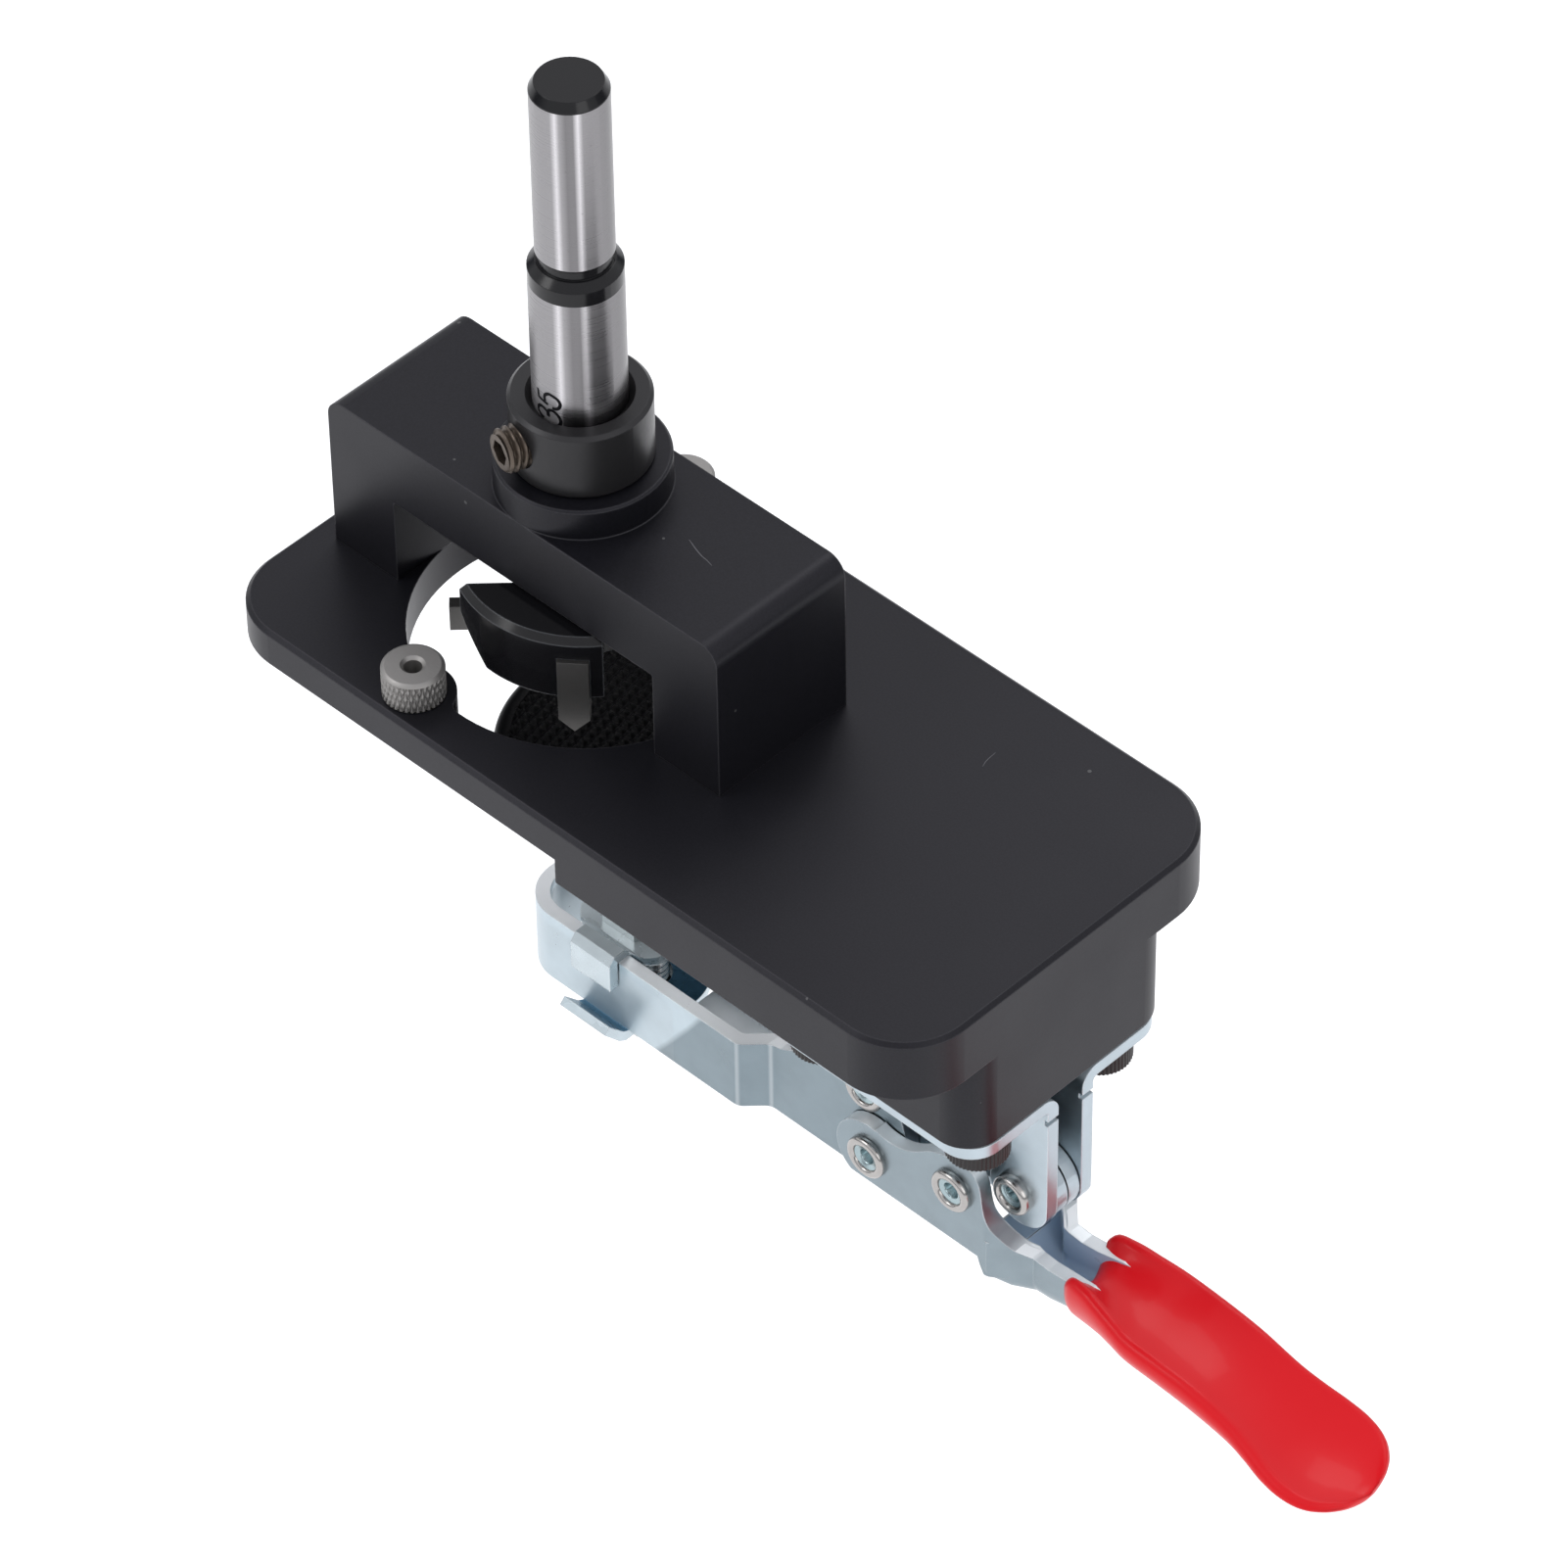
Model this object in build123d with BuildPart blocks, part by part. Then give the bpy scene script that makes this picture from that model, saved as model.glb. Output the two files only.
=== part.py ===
from build123d import *
import math
import os

os.makedirs("parts", exist_ok=True)

# ---------------------------------------------------------------- sizes, mm
# frame: origin on the drill axis in the top face of the plate,
# +X along the plate toward the handle, +Z up

# plate and block
plate_x0 = -38.0
plate_x1 = 83.0
plate_half = 29.3
plate_corner = 10.0
thin_z = -6.0
thick_z = -10.0
fence_x = 23.0
block_x0 = 44.0
block_half = 18.4
block_corner = 5.0
block_z = -24.8
window_r = 23.05
ear_r = 5.4
ear_fillet = 1.8
top_chamfer = 0.6
low_chamfer = 0.5

# knurled hollow bushes
bush_x = -6.8
bush_y = 24.1
bush_head_r = 4.1
bush_head_h = 4.7
bush_stem_r = 2.5
bush_bore_r = 1.2

# bridge
bridge_half_x = 34.1
bridge_half_y = 11.35
bridge_top = 24.4
beam_z = 13.4
leg_in = 22.8
bridge_fillet = 2.8
boss_r = 11.3
boss_top = 29.0
shank_r = 6.0
run_gap = 0.05
bridge_screw_x = 28.5
bridge_screw_y = 6.0

# collar
collar_r = 9.1
collar_top = 39.1
set_z = 34.0
set_angle = -106.0
set_r = 3.0
set_out = 11.5
set_in = 6.1

# boring bit
shank_top = 60.0
neck_z = 61.0
small_r = 5.0
small_z0 = 62.6
small_z1 = 87.6
bit_top = 88.8
head_r = 16.9
head_top = 12.4
head_low = 2.8
cut_r = 17.5
nicker_angle = -51.0
wing_angle = -135.0
segment_v = 5.9

# clamp layers, distances from the middle plane
link_in = 0.15
link_out = 2.05
base_in = 2.2
base_out = 4.1
strap_in = 4.25
strap_out = 6.2
cheek_in = 6.35
cheek_out = 8.3
front_half = 9.2
strip_t = 1.95

# clamp pivots (x, z)
ax, az = 53.9, -42.0
bx, bz = 56.2, -51.0
cx, cz = 70.9, -46.3
dx, dz = 77.7, -45.1
pin_r = 2.2
pin_hole = 2.25
head_rivet = 3.1

# base plates
base_x0 = 46.0
base_x1 = 83.0
flange_half = 17.7
flange_t = 1.9
base_screw_xs = (51.3, 77.7)
base_screw_y = 11.2

# arm
arm_top = -46.0
arm_low = -57.4
arm_front = -6.0
web_x0, web_x1 = 18.7, 33.0

# spindle and pad
sx = 8.6
pad_r = 18.7
pad_top = -14.7
pad_low = -20.0
spindle_r = 3.0
spindle_low = -66.5
nut_af = 10.0
nut_h = 5.0
washer_t = 1.5
dish = 0.3


def ring(px, pz, r, a0, a1, n):
    out = []
    for i in range(n + 1):
        a = math.radians(a0 + (a1 - a0) * i / n)
        out.append((px + r * math.cos(a), pz + r * math.sin(a)))
    return out


# ---------------------------------------------------------------- jig body
with BuildPart() as jig_body:
    with BuildSketch(Plane.XY.offset(thin_z)):
        with Locations(((plate_x0 + plate_x1) / 2, 0)):
            RectangleRounded(plate_x1 - plate_x0, 2 * plate_half, plate_corner)
    extrude(amount=-thin_z)
    chamfer(jig_body.faces().sort_by(Axis.Z)[-1].edges(), top_chamfer)
    chamfer(jig_body.faces().sort_by(Axis.Z)[0].edges(), 0.5)
    with BuildSketch(Plane.XY.offset(thick_z)):
        with Locations(((plate_x0 + plate_x1) / 2, 0)):
            RectangleRounded(plate_x1 - plate_x0, 2 * plate_half, plate_corner)
        with Locations((fence_x - 100, 0)):
            Rectangle(200, 100, mode=Mode.SUBTRACT)
    extrude(amount=-1.0 - thick_z)
    chamfer(jig_body.faces().sort_by(Axis.Z)[0].edges(), low_chamfer)
    with BuildSketch(Plane.XY.offset(block_z)):
        with Locations(((block_x0 + plate_x1) / 2, 0)):
            RectangleRounded(plate_x1 - block_x0, 2 * block_half, block_corner)
    extrude(amount=thick_z - block_z + 1.0)
    chamfer(jig_body.faces().sort_by(Axis.Z)[0].edges(), 0.4)
    # round window with an ear at each bush
    with BuildSketch(Plane.XY.offset(thin_z - 1)):
        Circle(window_r)
        with Locations((bush_x, bush_y), (bush_x, -bush_y)):
            Circle(ear_r, mode=Mode.SUBTRACT)
        fillet([v for v in vertices() if math.hypot(v.X, v.Y) > 20 and abs(v.Y) > 15], ear_fillet)
    extrude(amount=-thin_z + 2, mode=Mode.SUBTRACT)
    # bush holes
    with Locations((bush_x, bush_y, thin_z / 2), (bush_x, -bush_y, thin_z / 2)):
        Cylinder(bush_stem_r, -thin_z, mode=Mode.SUBTRACT)
    # bridge screw holes, countersunk from below
    for s in (-1, 1):
        for t in (-1, 1):
            with Locations((s * bridge_screw_x, t * bridge_screw_y, thin_z / 2)):
                Cylinder(2.1, -thin_z, mode=Mode.SUBTRACT)
            with Locations((s * bridge_screw_x, t * bridge_screw_y, thin_z + 1.1)):
                Cone(4.2, 2.0, 2.2, mode=Mode.SUBTRACT)
    with Locations((bridge_screw_x, bridge_screw_y, (thin_z + thick_z) / 2), (bridge_screw_x, -bridge_screw_y, (thin_z + thick_z) / 2)):
        Cylinder(4.3, thin_z - thick_z, mode=Mode.SUBTRACT)
    # tapped holes for the base screws
    for x in base_screw_xs:
        with Locations((x, base_screw_y, block_z + 6), (x, -base_screw_y, block_z + 6)):
            Cylinder(2.5, 12, mode=Mode.SUBTRACT)
jig_body.part.label = "jig_body"
export_step(jig_body.part, "parts/jig_body.step")

# ---------------------------------------------------------------- bridge
with BuildPart() as guide_bridge:
    with Locations((0, 0, bridge_top / 2)):
        Box(2 * bridge_half_x, 2 * bridge_half_y, bridge_top)
    with Locations((0, 0, beam_z / 2)):
        Box(2 * leg_in, 2 * bridge_half_y + 2, beam_z, mode=Mode.SUBTRACT)
    fillet(guide_bridge.edges().filter_by(Axis.Y).group_by(Axis.Z)[-1], bridge_fillet)
    fillet([e for e in guide_bridge.edges().filter_by(Axis.Y) if abs(abs(e.center().X) - leg_in) < 0.2 and e.center().Z > 10], 0.3)
    with Locations((0, 0, (bridge_top + boss_top) / 2)):
        Cylinder(boss_r, boss_top - bridge_top)
    chamfer(guide_bridge.edges().filter_by(GeomType.CIRCLE).sort_by(Axis.Z)[-1], 0.3)
    with Locations((0, 0, 22)):
        Cylinder(shank_r + run_gap, 20, mode=Mode.SUBTRACT)
    for s in (-1, 1):
        for t in (-1, 1):
            with Locations((s * bridge_screw_x, t * bridge_screw_y, 4.5)):
                Cylinder(2.0, 9.0, mode=Mode.SUBTRACT)
guide_bridge.part.label = "guide_bridge"
export_step(guide_bridge.part, "parts/guide_bridge.step")

with BuildPart() as bridge_screws:
    for s in (-1, 1):
        for t in (-1, 1):
            with Locations((s * bridge_screw_x, t * bridge_screw_y, (thin_z + 8.0) / 2)):
                Cylinder(2.0, 8.0 - thin_z)
            with Locations((s * bridge_screw_x, t * bridge_screw_y, thin_z + 1.1)):
                Cone(3.95, 2.0, 2.2)
            with BuildSketch(Plane.XY.offset(thin_z)):
                with Locations((s * bridge_screw_x, t * bridge_screw_y)):
                    RegularPolygon(1.25, 6, major_radius=False)
            extrude(amount=1.8, mode=Mode.SUBTRACT)
bridge_screws.part.label = "bridge_screws"
export_step(bridge_screws.part, "parts/bridge_screws.step")

# ---------------------------------------------------------------- bushes
with BuildPart() as knurled_bush_front:
    with Locations((bush_x, -bush_y, bush_head_h / 2)):
        Cylinder(bush_head_r, bush_head_h)
    chamfer(knurled_bush_front.edges().filter_by(GeomType.CIRCLE), 0.4)
    with Locations((bush_x, -bush_y, thin_z / 2)):
        Cylinder(bush_stem_r, -thin_z)
    with Locations((bush_x, -bush_y, 0)):
        Cylinder(bush_bore_r, 30, mode=Mode.SUBTRACT)
    with Locations((bush_x, -bush_y, bush_head_h - 0.15)):
        Cone(bush_bore_r, bush_bore_r + 0.3, 0.3, mode=Mode.SUBTRACT)
knurled_bush_front.part.label = "knurled_bush_front"
export_step(knurled_bush_front.part, "parts/knurled_bush_front.step")

with BuildPart() as knurled_bush_rear:
    add(mirror(knurled_bush_front.part, about=Plane.XZ))
knurled_bush_rear.part.label = "knurled_bush_rear"
export_step(knurled_bush_rear.part, "parts/knurled_bush_rear.step")

# ---------------------------------------------------------------- collar
set_plane = Plane(origin=(0, 0, set_z), x_dir=(-math.sin(math.radians(set_angle)), math.cos(math.radians(set_angle)), 0), z_dir=(math.cos(math.radians(set_angle)), math.sin(math.radians(set_angle)), 0))

with BuildPart() as stop_collar:
    with Locations((0, 0, (boss_top + collar_top) / 2)):
        Cylinder(collar_r, collar_top - boss_top)
    chamfer(stop_collar.edges().filter_by(GeomType.CIRCLE), 0.5)
    with Locations((0, 0, (boss_top + collar_top) / 2)):
        Cylinder(shank_r + run_gap, 30, mode=Mode.SUBTRACT)
    with Locations((0, 0, collar_top - 0.4)):
        Cone(shank_r + run_gap, shank_r + run_gap + 0.8, 0.8, mode=Mode.SUBTRACT)
    with BuildSketch(set_plane.offset(3.0)):
        Circle(set_r)
    extrude(amount=10, mode=Mode.SUBTRACT)
stop_collar.part.label = "stop_collar"
export_step(stop_collar.part, "parts/stop_collar.step")

with BuildPart() as collar_set_screw:
    with BuildSketch(set_plane.offset(set_in)):
        Circle(set_r)
    extrude(amount=set_out - set_in)
    chamfer(collar_set_screw.edges().filter_by(GeomType.CIRCLE), 0.4)
    with BuildSketch(set_plane.offset(set_out)):
        RegularPolygon(1.5, 6, major_radius=False)
    extrude(amount=-3.0, mode=Mode.SUBTRACT)
collar_set_screw.part.label = "collar_set_screw"
export_step(collar_set_screw.part, "parts/collar_set_screw.step")

# ---------------------------------------------------------------- boring bit
def turned(u, v, a):
    c, k = math.cos(math.radians(a)), math.sin(math.radians(a))
    return (u * c - v * k, u * k + v * c)


with BuildPart() as boring_bit:
    # shank, turned
    with BuildSketch(Plane.XZ):
        with BuildLine():
            Polyline((0, -1.0), (0, bit_top), (4.3, bit_top), (small_r, small_z1), (small_r, small_z0),
                     (4.7, small_z0 - 0.3), (4.7, neck_z), (small_r, neck_z), (shank_r, shank_top), (shank_r, 5.0),
                     (7.5, 3.2), (7.5, 1.5), (1.2, 1.0), (0.0, -3.4), close=False)
            Line((0.0, -3.4), (0, -1.0))
        make_face()
    revolve(axis=Axis.Z)
    # head wall: two opposite segments on a hub
    with BuildSketch(Plane.XY.offset(head_low)):
        for a in (wing_angle, wing_angle + 180):
            with BuildLine():
                Polyline(*[turned(u, v, a) for u, v in ((-2.0, segment_v), (20.0, segment_v), (20.0, 20.0), (-2.0, 20.0))], close=True)
            make_face()
        Circle(9.0)
        Circle(head_r, mode=Mode.INTERSECT)
    extrude(amount=head_top - head_low)
    with BuildSketch(Plane.XZ):
        with BuildLine():
            Polyline((head_r - 0.9, head_top), (head_r + 3, head_top), (head_r + 3, head_top - 3.9), close=True)
        make_face()
    revolve(axis=Axis.Z, mode=Mode.SUBTRACT)
    # chip clearance at the trailing end of each segment
    for a in (wing_angle, wing_angle + 180):
        with BuildSketch(Plane(origin=(0, 0, 0), x_dir=(math.cos(math.radians(a)), math.sin(math.radians(a)), 0), z_dir=(math.sin(math.radians(a)), -math.cos(math.radians(a)), 0))):
            with BuildLine():
                Polyline((16.1, 8.2), (12.2, 2.0), (20, 2.0), (20, 8.2), close=True)
            make_face()
        extrude(amount=-20, mode=Mode.SUBTRACT)
    # ledges that back the wing cutters
    for a in (wing_angle, wing_angle + 180):
        with BuildSketch(Plane(origin=(0, 0, 0.6), x_dir=(math.cos(math.radians(a)), math.sin(math.radians(a)), 0), z_dir=(0, 0, 1))):
            with Locations((7.0, 1.4)):
                Rectangle(10.0, 3.0)
        extrude(amount=4.0)
boring_bit.part.label = "boring_bit"

with BuildPart() as nicker_tips:
    for a in (nicker_angle, nicker_angle + 180):
        with BuildSketch(Plane(origin=(15.9 * math.cos(math.radians(a)), 15.9 * math.sin(math.radians(a)), 0), x_dir=(-math.sin(math.radians(a)), math.cos(math.radians(a)), 0), z_dir=(math.cos(math.radians(a)), math.sin(math.radians(a)), 0))):
            with BuildLine():
                Polyline((-2.0, 9.2), (2.0, 9.2), (2.0, -0.5), (0, -2.5), (-2.0, -0.5), close=True)
            make_face()
        extrude(amount=1.6)
nicker_tips.part.label = "nicker_tips"
export_step(nicker_tips.part, "parts/nicker_tips.step")

with BuildPart() as wing_tips:
    for a in (wing_angle, wing_angle + 180):
        with BuildSketch(Plane(origin=(0, 0, -1.2), x_dir=(math.cos(math.radians(a)), math.sin(math.radians(a)), 0), z_dir=(0, 0, 1))):
            with Locations((10.65, -0.9)):
                Rectangle(13.7, 1.8)
        extrude(amount=4.0)
wing_tips.part.label = "wing_tips"
export_step(wing_tips.part, "parts/wing_tips.step")

bit_solid = boring_bit.part - nicker_tips.part - wing_tips.part
bit_solid = bit_solid.solids().sort_by(SortBy.VOLUME)[-1]
with BuildPart() as boring_bit_cut:
    add(bit_solid)
boring_bit_cut.part.label = "boring_bit"
export_step(boring_bit_cut.part, "parts/boring_bit.step")

# ---------------------------------------------------------------- base plates
with BuildPart() as clamp_base_near:
    with BuildSketch(Plane.XZ.offset(base_in)):
        with BuildLine():
            pts = [(base_x0, block_z), (base_x0, -38.0)]
            pts += ring(ax, az, 7.9, 183, 275, 10)
            pts += [(58.0, -50.3), (59.8, -49.9), (62.3, -48.4), (65.5, -45.0), (68.2, -43.0), (71.5, -42.6)]
            pts += ring(dx, dz, 4.35, 165, 225, 6)
            pts += [(75.6, -49.6)]
            pts += ring(78.1, -45.2, 5.0, 262, 345, 10)
            pts += [(base_x1, -44.3), (base_x1, block_z)]
            Polyline(*pts, close=True)
        make_face()
    extrude(amount=base_out - base_in)
    with BuildSketch(Plane.XY.offset(block_z - flange_t)):
        with BuildLine():
            Polyline((base_x0, -base_in), (base_x1, -base_in), (base_x1, -flange_half), (base_x0, -flange_half), close=True)
        make_face()
        fillet([v for v in vertices() if abs(v.Y + flange_half) < 0.01 and v.X > 80], 4.6)
        fillet([v for v in vertices() if abs(v.Y + flange_half) < 0.01 and v.X < 50], 6.4)
    extrude(amount=flange_t)
    fillet([e for e in clamp_base_near.edges().filter_by(Axis.X) if abs(e.center().Y + base_in) < 0.01 and abs(e.center().Z - block_z) < 0.01], 2.7)
    fillet([e for e in clamp_base_near.edges().filter_by(Axis.X) if abs(e.center().Y + base_out) < 0.01 and abs(e.center().Z - block_z + flange_t) < 0.01], 0.8)
    with Locations((base_x1, -3.2, -29.0)):
        Box(1.2, 4, 0.8, mode=Mode.SUBTRACT)
    for x in base_screw_xs:
        with Locations((x, -base_screw_y, block_z - 1)):
            Cylinder(2.75, 6, mode=Mode.SUBTRACT)
    with BuildSketch(Plane.XZ.offset(base_in - 1)):
        with Locations((ax, az), (dx, dz)):
            Circle(pin_r)
    extrude(amount=5, mode=Mode.SUBTRACT)
clamp_base_near.part.label = "clamp_base_near"
export_step(clamp_base_near.part, "parts/clamp_base_near.step")

with BuildPart() as clamp_base_far:
    add(mirror(clamp_base_near.part, about=Plane.XZ))
clamp_base_far.part.label = "clamp_base_far"
export_step(clamp_base_far.part, "parts/clamp_base_far.step")

screw_seat = block_z - flange_t
with BuildPart() as base_screws:
    for x in base_screw_xs:
        for t in (-1, 1):
            with Locations((x, t * base_screw_y, screw_seat - 2.5)):
                Cylinder(4.25, 5.0)
    chamfer(base_screws.edges().filter_by(GeomType.CIRCLE), 0.4)
    for x in base_screw_xs:
        for t in (-1, 1):
            with Locations((x, t * base_screw_y, screw_seat + 6.0)):
                Cylinder(2.5, 12.0)
            with BuildSketch(Plane.XY.offset(screw_seat - 5.0)):
                with Locations((x, t * base_screw_y)):
                    RegularPolygon(2.0, 6, major_radius=False)
            extrude(amount=2.6, mode=Mode.SUBTRACT)
base_screws.part.label = "base_screws"
export_step(base_screws.part, "parts/base_screws.step")

# ---------------------------------------------------------------- arm
with BuildPart() as clamp_arm:
    with BuildSketch(Plane.XY.offset(arm_low - 2)):
        with BuildLine():
            Polyline((70, -strap_out), (37.0, -strap_out), (34.0, -front_half), (arm_front, -front_half),
                     (arm_front, front_half), (34.0, front_half), (37.0, strap_out), (70, strap_out), close=True)
        make_face()
        fillet([v for v in vertices() if v.X < 0], 6.25)
        fillet([v for v in vertices() if 30 < v.X < 40], 2.0)
        with BuildSketch(mode=Mode.SUBTRACT):
            with BuildLine():
                Polyline((75, -strap_in), (36.2, -strap_in), (33.2, -front_half + strip_t), (arm_front + strip_t, -front_half + strip_t),
                         (arm_front + strip_t, front_half - strip_t), (33.2, front_half - strip_t), (36.2, strap_in), (75, strap_in), close=True)
            make_face()
            fillet([v for v in vertices() if v.X < 0], 4.3)
            fillet([v for v in vertices() if 30 < v.X < 40], 1.6)
    extrude(amount=30)
    with BuildSketch(Plane.XZ.offset(-15)):
        with BuildLine():
            pts = [(-10, arm_low), (-10, arm_top), (36.8, arm_top), (38.8, arm_top + 0.4), (41.0, arm_top + 1.6), (44.5, -41.6)]
            pts += ring(ax, az, 5.6, 140, 0, 14)
            pts += [(61.2, -47.5)]
            pts += ring(bx, bz, 5.2, 0, -84, 10)
            pts += [(50.0, arm_low)]
            Polyline(*pts, close=True)
        make_face()
    extrude(amount=30, mode=Mode.INTERSECT)
    # floor between the straps behind the spindle's slot
    with BuildSketch(Plane.XY.offset(arm_low)):
        with Locations(((web_x0 + web_x1) / 2, 0)):
            Rectangle(web_x1 - web_x0, 2 * front_half - 1.0)
    extrude(amount=strip_t)
    with BuildSketch(Plane.XZ.offset(-15)):
        with Locations((ax, az)):
            Circle(pin_hole)
        with Locations((bx, bz)):
            Circle(pin_r)
    extrude(amount=30, mode=Mode.SUBTRACT)
clamp_arm.part.label = "clamp_arm"
export_step(clamp_arm.part, "parts/clamp_arm.step")

# ---------------------------------------------------------------- rivets
with BuildPart() as arm_pivot_rivet:
    with BuildSketch(Plane.XZ.offset(-strap_out - 1.0)):
        with Locations((ax, az)):
            Circle(pin_r)
    extrude(amount=2 * strap_out + 2.0)
    for y0 in (strap_out, -strap_out - 1.0):
        with BuildSketch(Plane.XZ.offset(y0)):
            with Locations((ax, az)):
                Circle(head_rivet)
        extrude(amount=1.0)
    with BuildSketch(Plane.XZ.offset(-20)):
        with Locations((ax, az)):
            Circle(1.3)
    extrude(amount=40, mode=Mode.SUBTRACT)
    for y0 in (strap_out + 0.4, -strap_out - 1.0):
        with BuildSketch(Plane.XZ.offset(y0)):
            with Locations((ax, az)):
                Circle(1.9)
        extrude(amount=0.6, mode=Mode.SUBTRACT)
arm_pivot_rivet.part.label = "arm_pivot_rivet"
export_step(arm_pivot_rivet.part, "parts/arm_pivot_rivet.step")

with BuildPart() as handle_pivot_rivets:
    for s in (1, -1):
        with BuildSketch(Plane.XZ.offset(s * strap_in)):
            with Locations((bx, bz)):
                Circle(pin_r)
        extrude(amount=s * (cheek_out - strap_in))
        with BuildSketch(Plane.XZ.offset(s * cheek_out)):
            with Locations((bx, bz)):
                Circle(head_rivet)
        extrude(amount=s * 0.9)
        with BuildSketch(Plane.XZ.offset(s * (cheek_out + 0.9))):
            with Locations((bx, bz)):
                Circle(1.9)
        extrude(amount=s * -0.6, mode=Mode.SUBTRACT)
        with BuildSketch(Plane.XZ.offset(s * (cheek_out + 0.9))):
            with Locations((bx, bz)):
                Circle(1.3)
        extrude(amount=s * -2.4, mode=Mode.SUBTRACT)
handle_pivot_rivets.part.label = "handle_pivot_rivets"
export_step(handle_pivot_rivets.part, "parts/handle_pivot_rivets.step")

with BuildPart() as link_pivot_rivets:
    for s in (1, -1):
        with BuildSketch(Plane.XZ.offset(s * (cheek_in - 0.4))):
            with Locations((cx, cz)):
                Circle(2.7)
        extrude(amount=s * 0.4)
        with BuildSketch(Plane.XZ.offset(s * cheek_in)):
            with Locations((cx, cz)):
                Circle(pin_r)
        extrude(amount=s * (cheek_out - cheek_in))
        with BuildSketch(Plane.XZ.offset(s * cheek_out)):
            with Locations((cx, cz)):
                Circle(head_rivet)
        extrude(amount=s * 1.1)
        with BuildSketch(Plane.XZ.offset(s * (cheek_out + 1.1))):
            with Locations((cx, cz)):
                Circle(1.9)
        extrude(amount=s * -0.6, mode=Mode.SUBTRACT)
        with BuildSketch(Plane.XZ.offset(s * (cheek_out + 1.1))):
            with Locations((cx, cz)):
                Circle(1.3)
        extrude(amount=s * -3.0, mode=Mode.SUBTRACT)
link_pivot_rivets.part.label = "link_pivot_rivets"
export_step(link_pivot_rivets.part, "parts/link_pivot_rivets.step")

with BuildPart() as base_pivot_rivet:
    with BuildSketch(Plane.XZ.offset(-base_out - 1.6)):
        with Locations((dx, dz)):
            Circle(pin_r)
    extrude(amount=2 * base_out + 3.2)
    for y0 in (base_out, -base_out - 1.6):
        with BuildSketch(Plane.XZ.offset(y0)):
            with Locations((dx, dz)):
                Circle(2.95)
        extrude(amount=1.6)
    with BuildSketch(Plane.XZ.offset(-20)):
        with Locations((dx, dz)):
            Circle(1.3)
    extrude(amount=40, mode=Mode.SUBTRACT)
    for y0 in (base_out + 1.0, -base_out - 1.6):
        with BuildSketch(Plane.XZ.offset(y0)):
            with Locations((dx, dz)):
                Circle(1.9)
        extrude(amount=0.6, mode=Mode.SUBTRACT)
base_pivot_rivet.part.label = "base_pivot_rivet"
export_step(base_pivot_rivet.part, "parts/base_pivot_rivet.step")

# ---------------------------------------------------------------- links
with BuildPart() as link_near:
    with BuildSketch(Plane.XZ.offset(link_in)):
        with BuildLine():
            a = math.degrees(math.atan2(cz - dz, cx - dx))
            pts = ring(dx, dz, 5.2, a + 103, a - 103 + 360, 24)
            pts = ring(dx, dz, 5.2, a - 103, a - 257, 20) + ring(cx, cz, 3.6, a + 103, a - 103, 16)
            Polyline(*pts, close=True)
        make_face()
        with Locations((dx, dz), (cx, cz)):
            Circle(pin_hole, mode=Mode.SUBTRACT)
    extrude(amount=link_out - link_in)
link_near.part.label = "link_near"
export_step(link_near.part, "parts/link_near.step")

with BuildPart() as link_far:
    add(mirror(link_near.part, about=Plane.XZ))
link_far.part.label = "link_far"
export_step(link_far.part, "parts/link_far.step")

# ---------------------------------------------------------------- handle
tail = [
    # x, half width, top z, bottom z, corner radius
    (75.75, 8.3, -52.0, -59.5, 2.8),
    (76.6, 8.3, -52.0, -59.6, 2.8),
    (78.6, 6.37, -53.2, -61.4, 2.8),
    (80.9, 4.15, -55.1, -62.5, 3.0),
    (83.4, 4.15, -55.3, -62.3, 3.0),
    (86.0, 4.2, -55.0, -61.6, 3.0),
    (90.0, 4.5, -54.3, -60.4, 3.0),
    (95.0, 5.4, -54.6, -59.6, 3.0),
    (102.0, 6.2, -55.6, -59.9, 3.0),
    (110.7, 6.2, -56.4, -60.7, 3.0),
    (118.0, 6.2, -58.8, -61.9, 2.6),
    (124.0, 6.6, -60.6, -62.8, 2.1),
]

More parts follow.
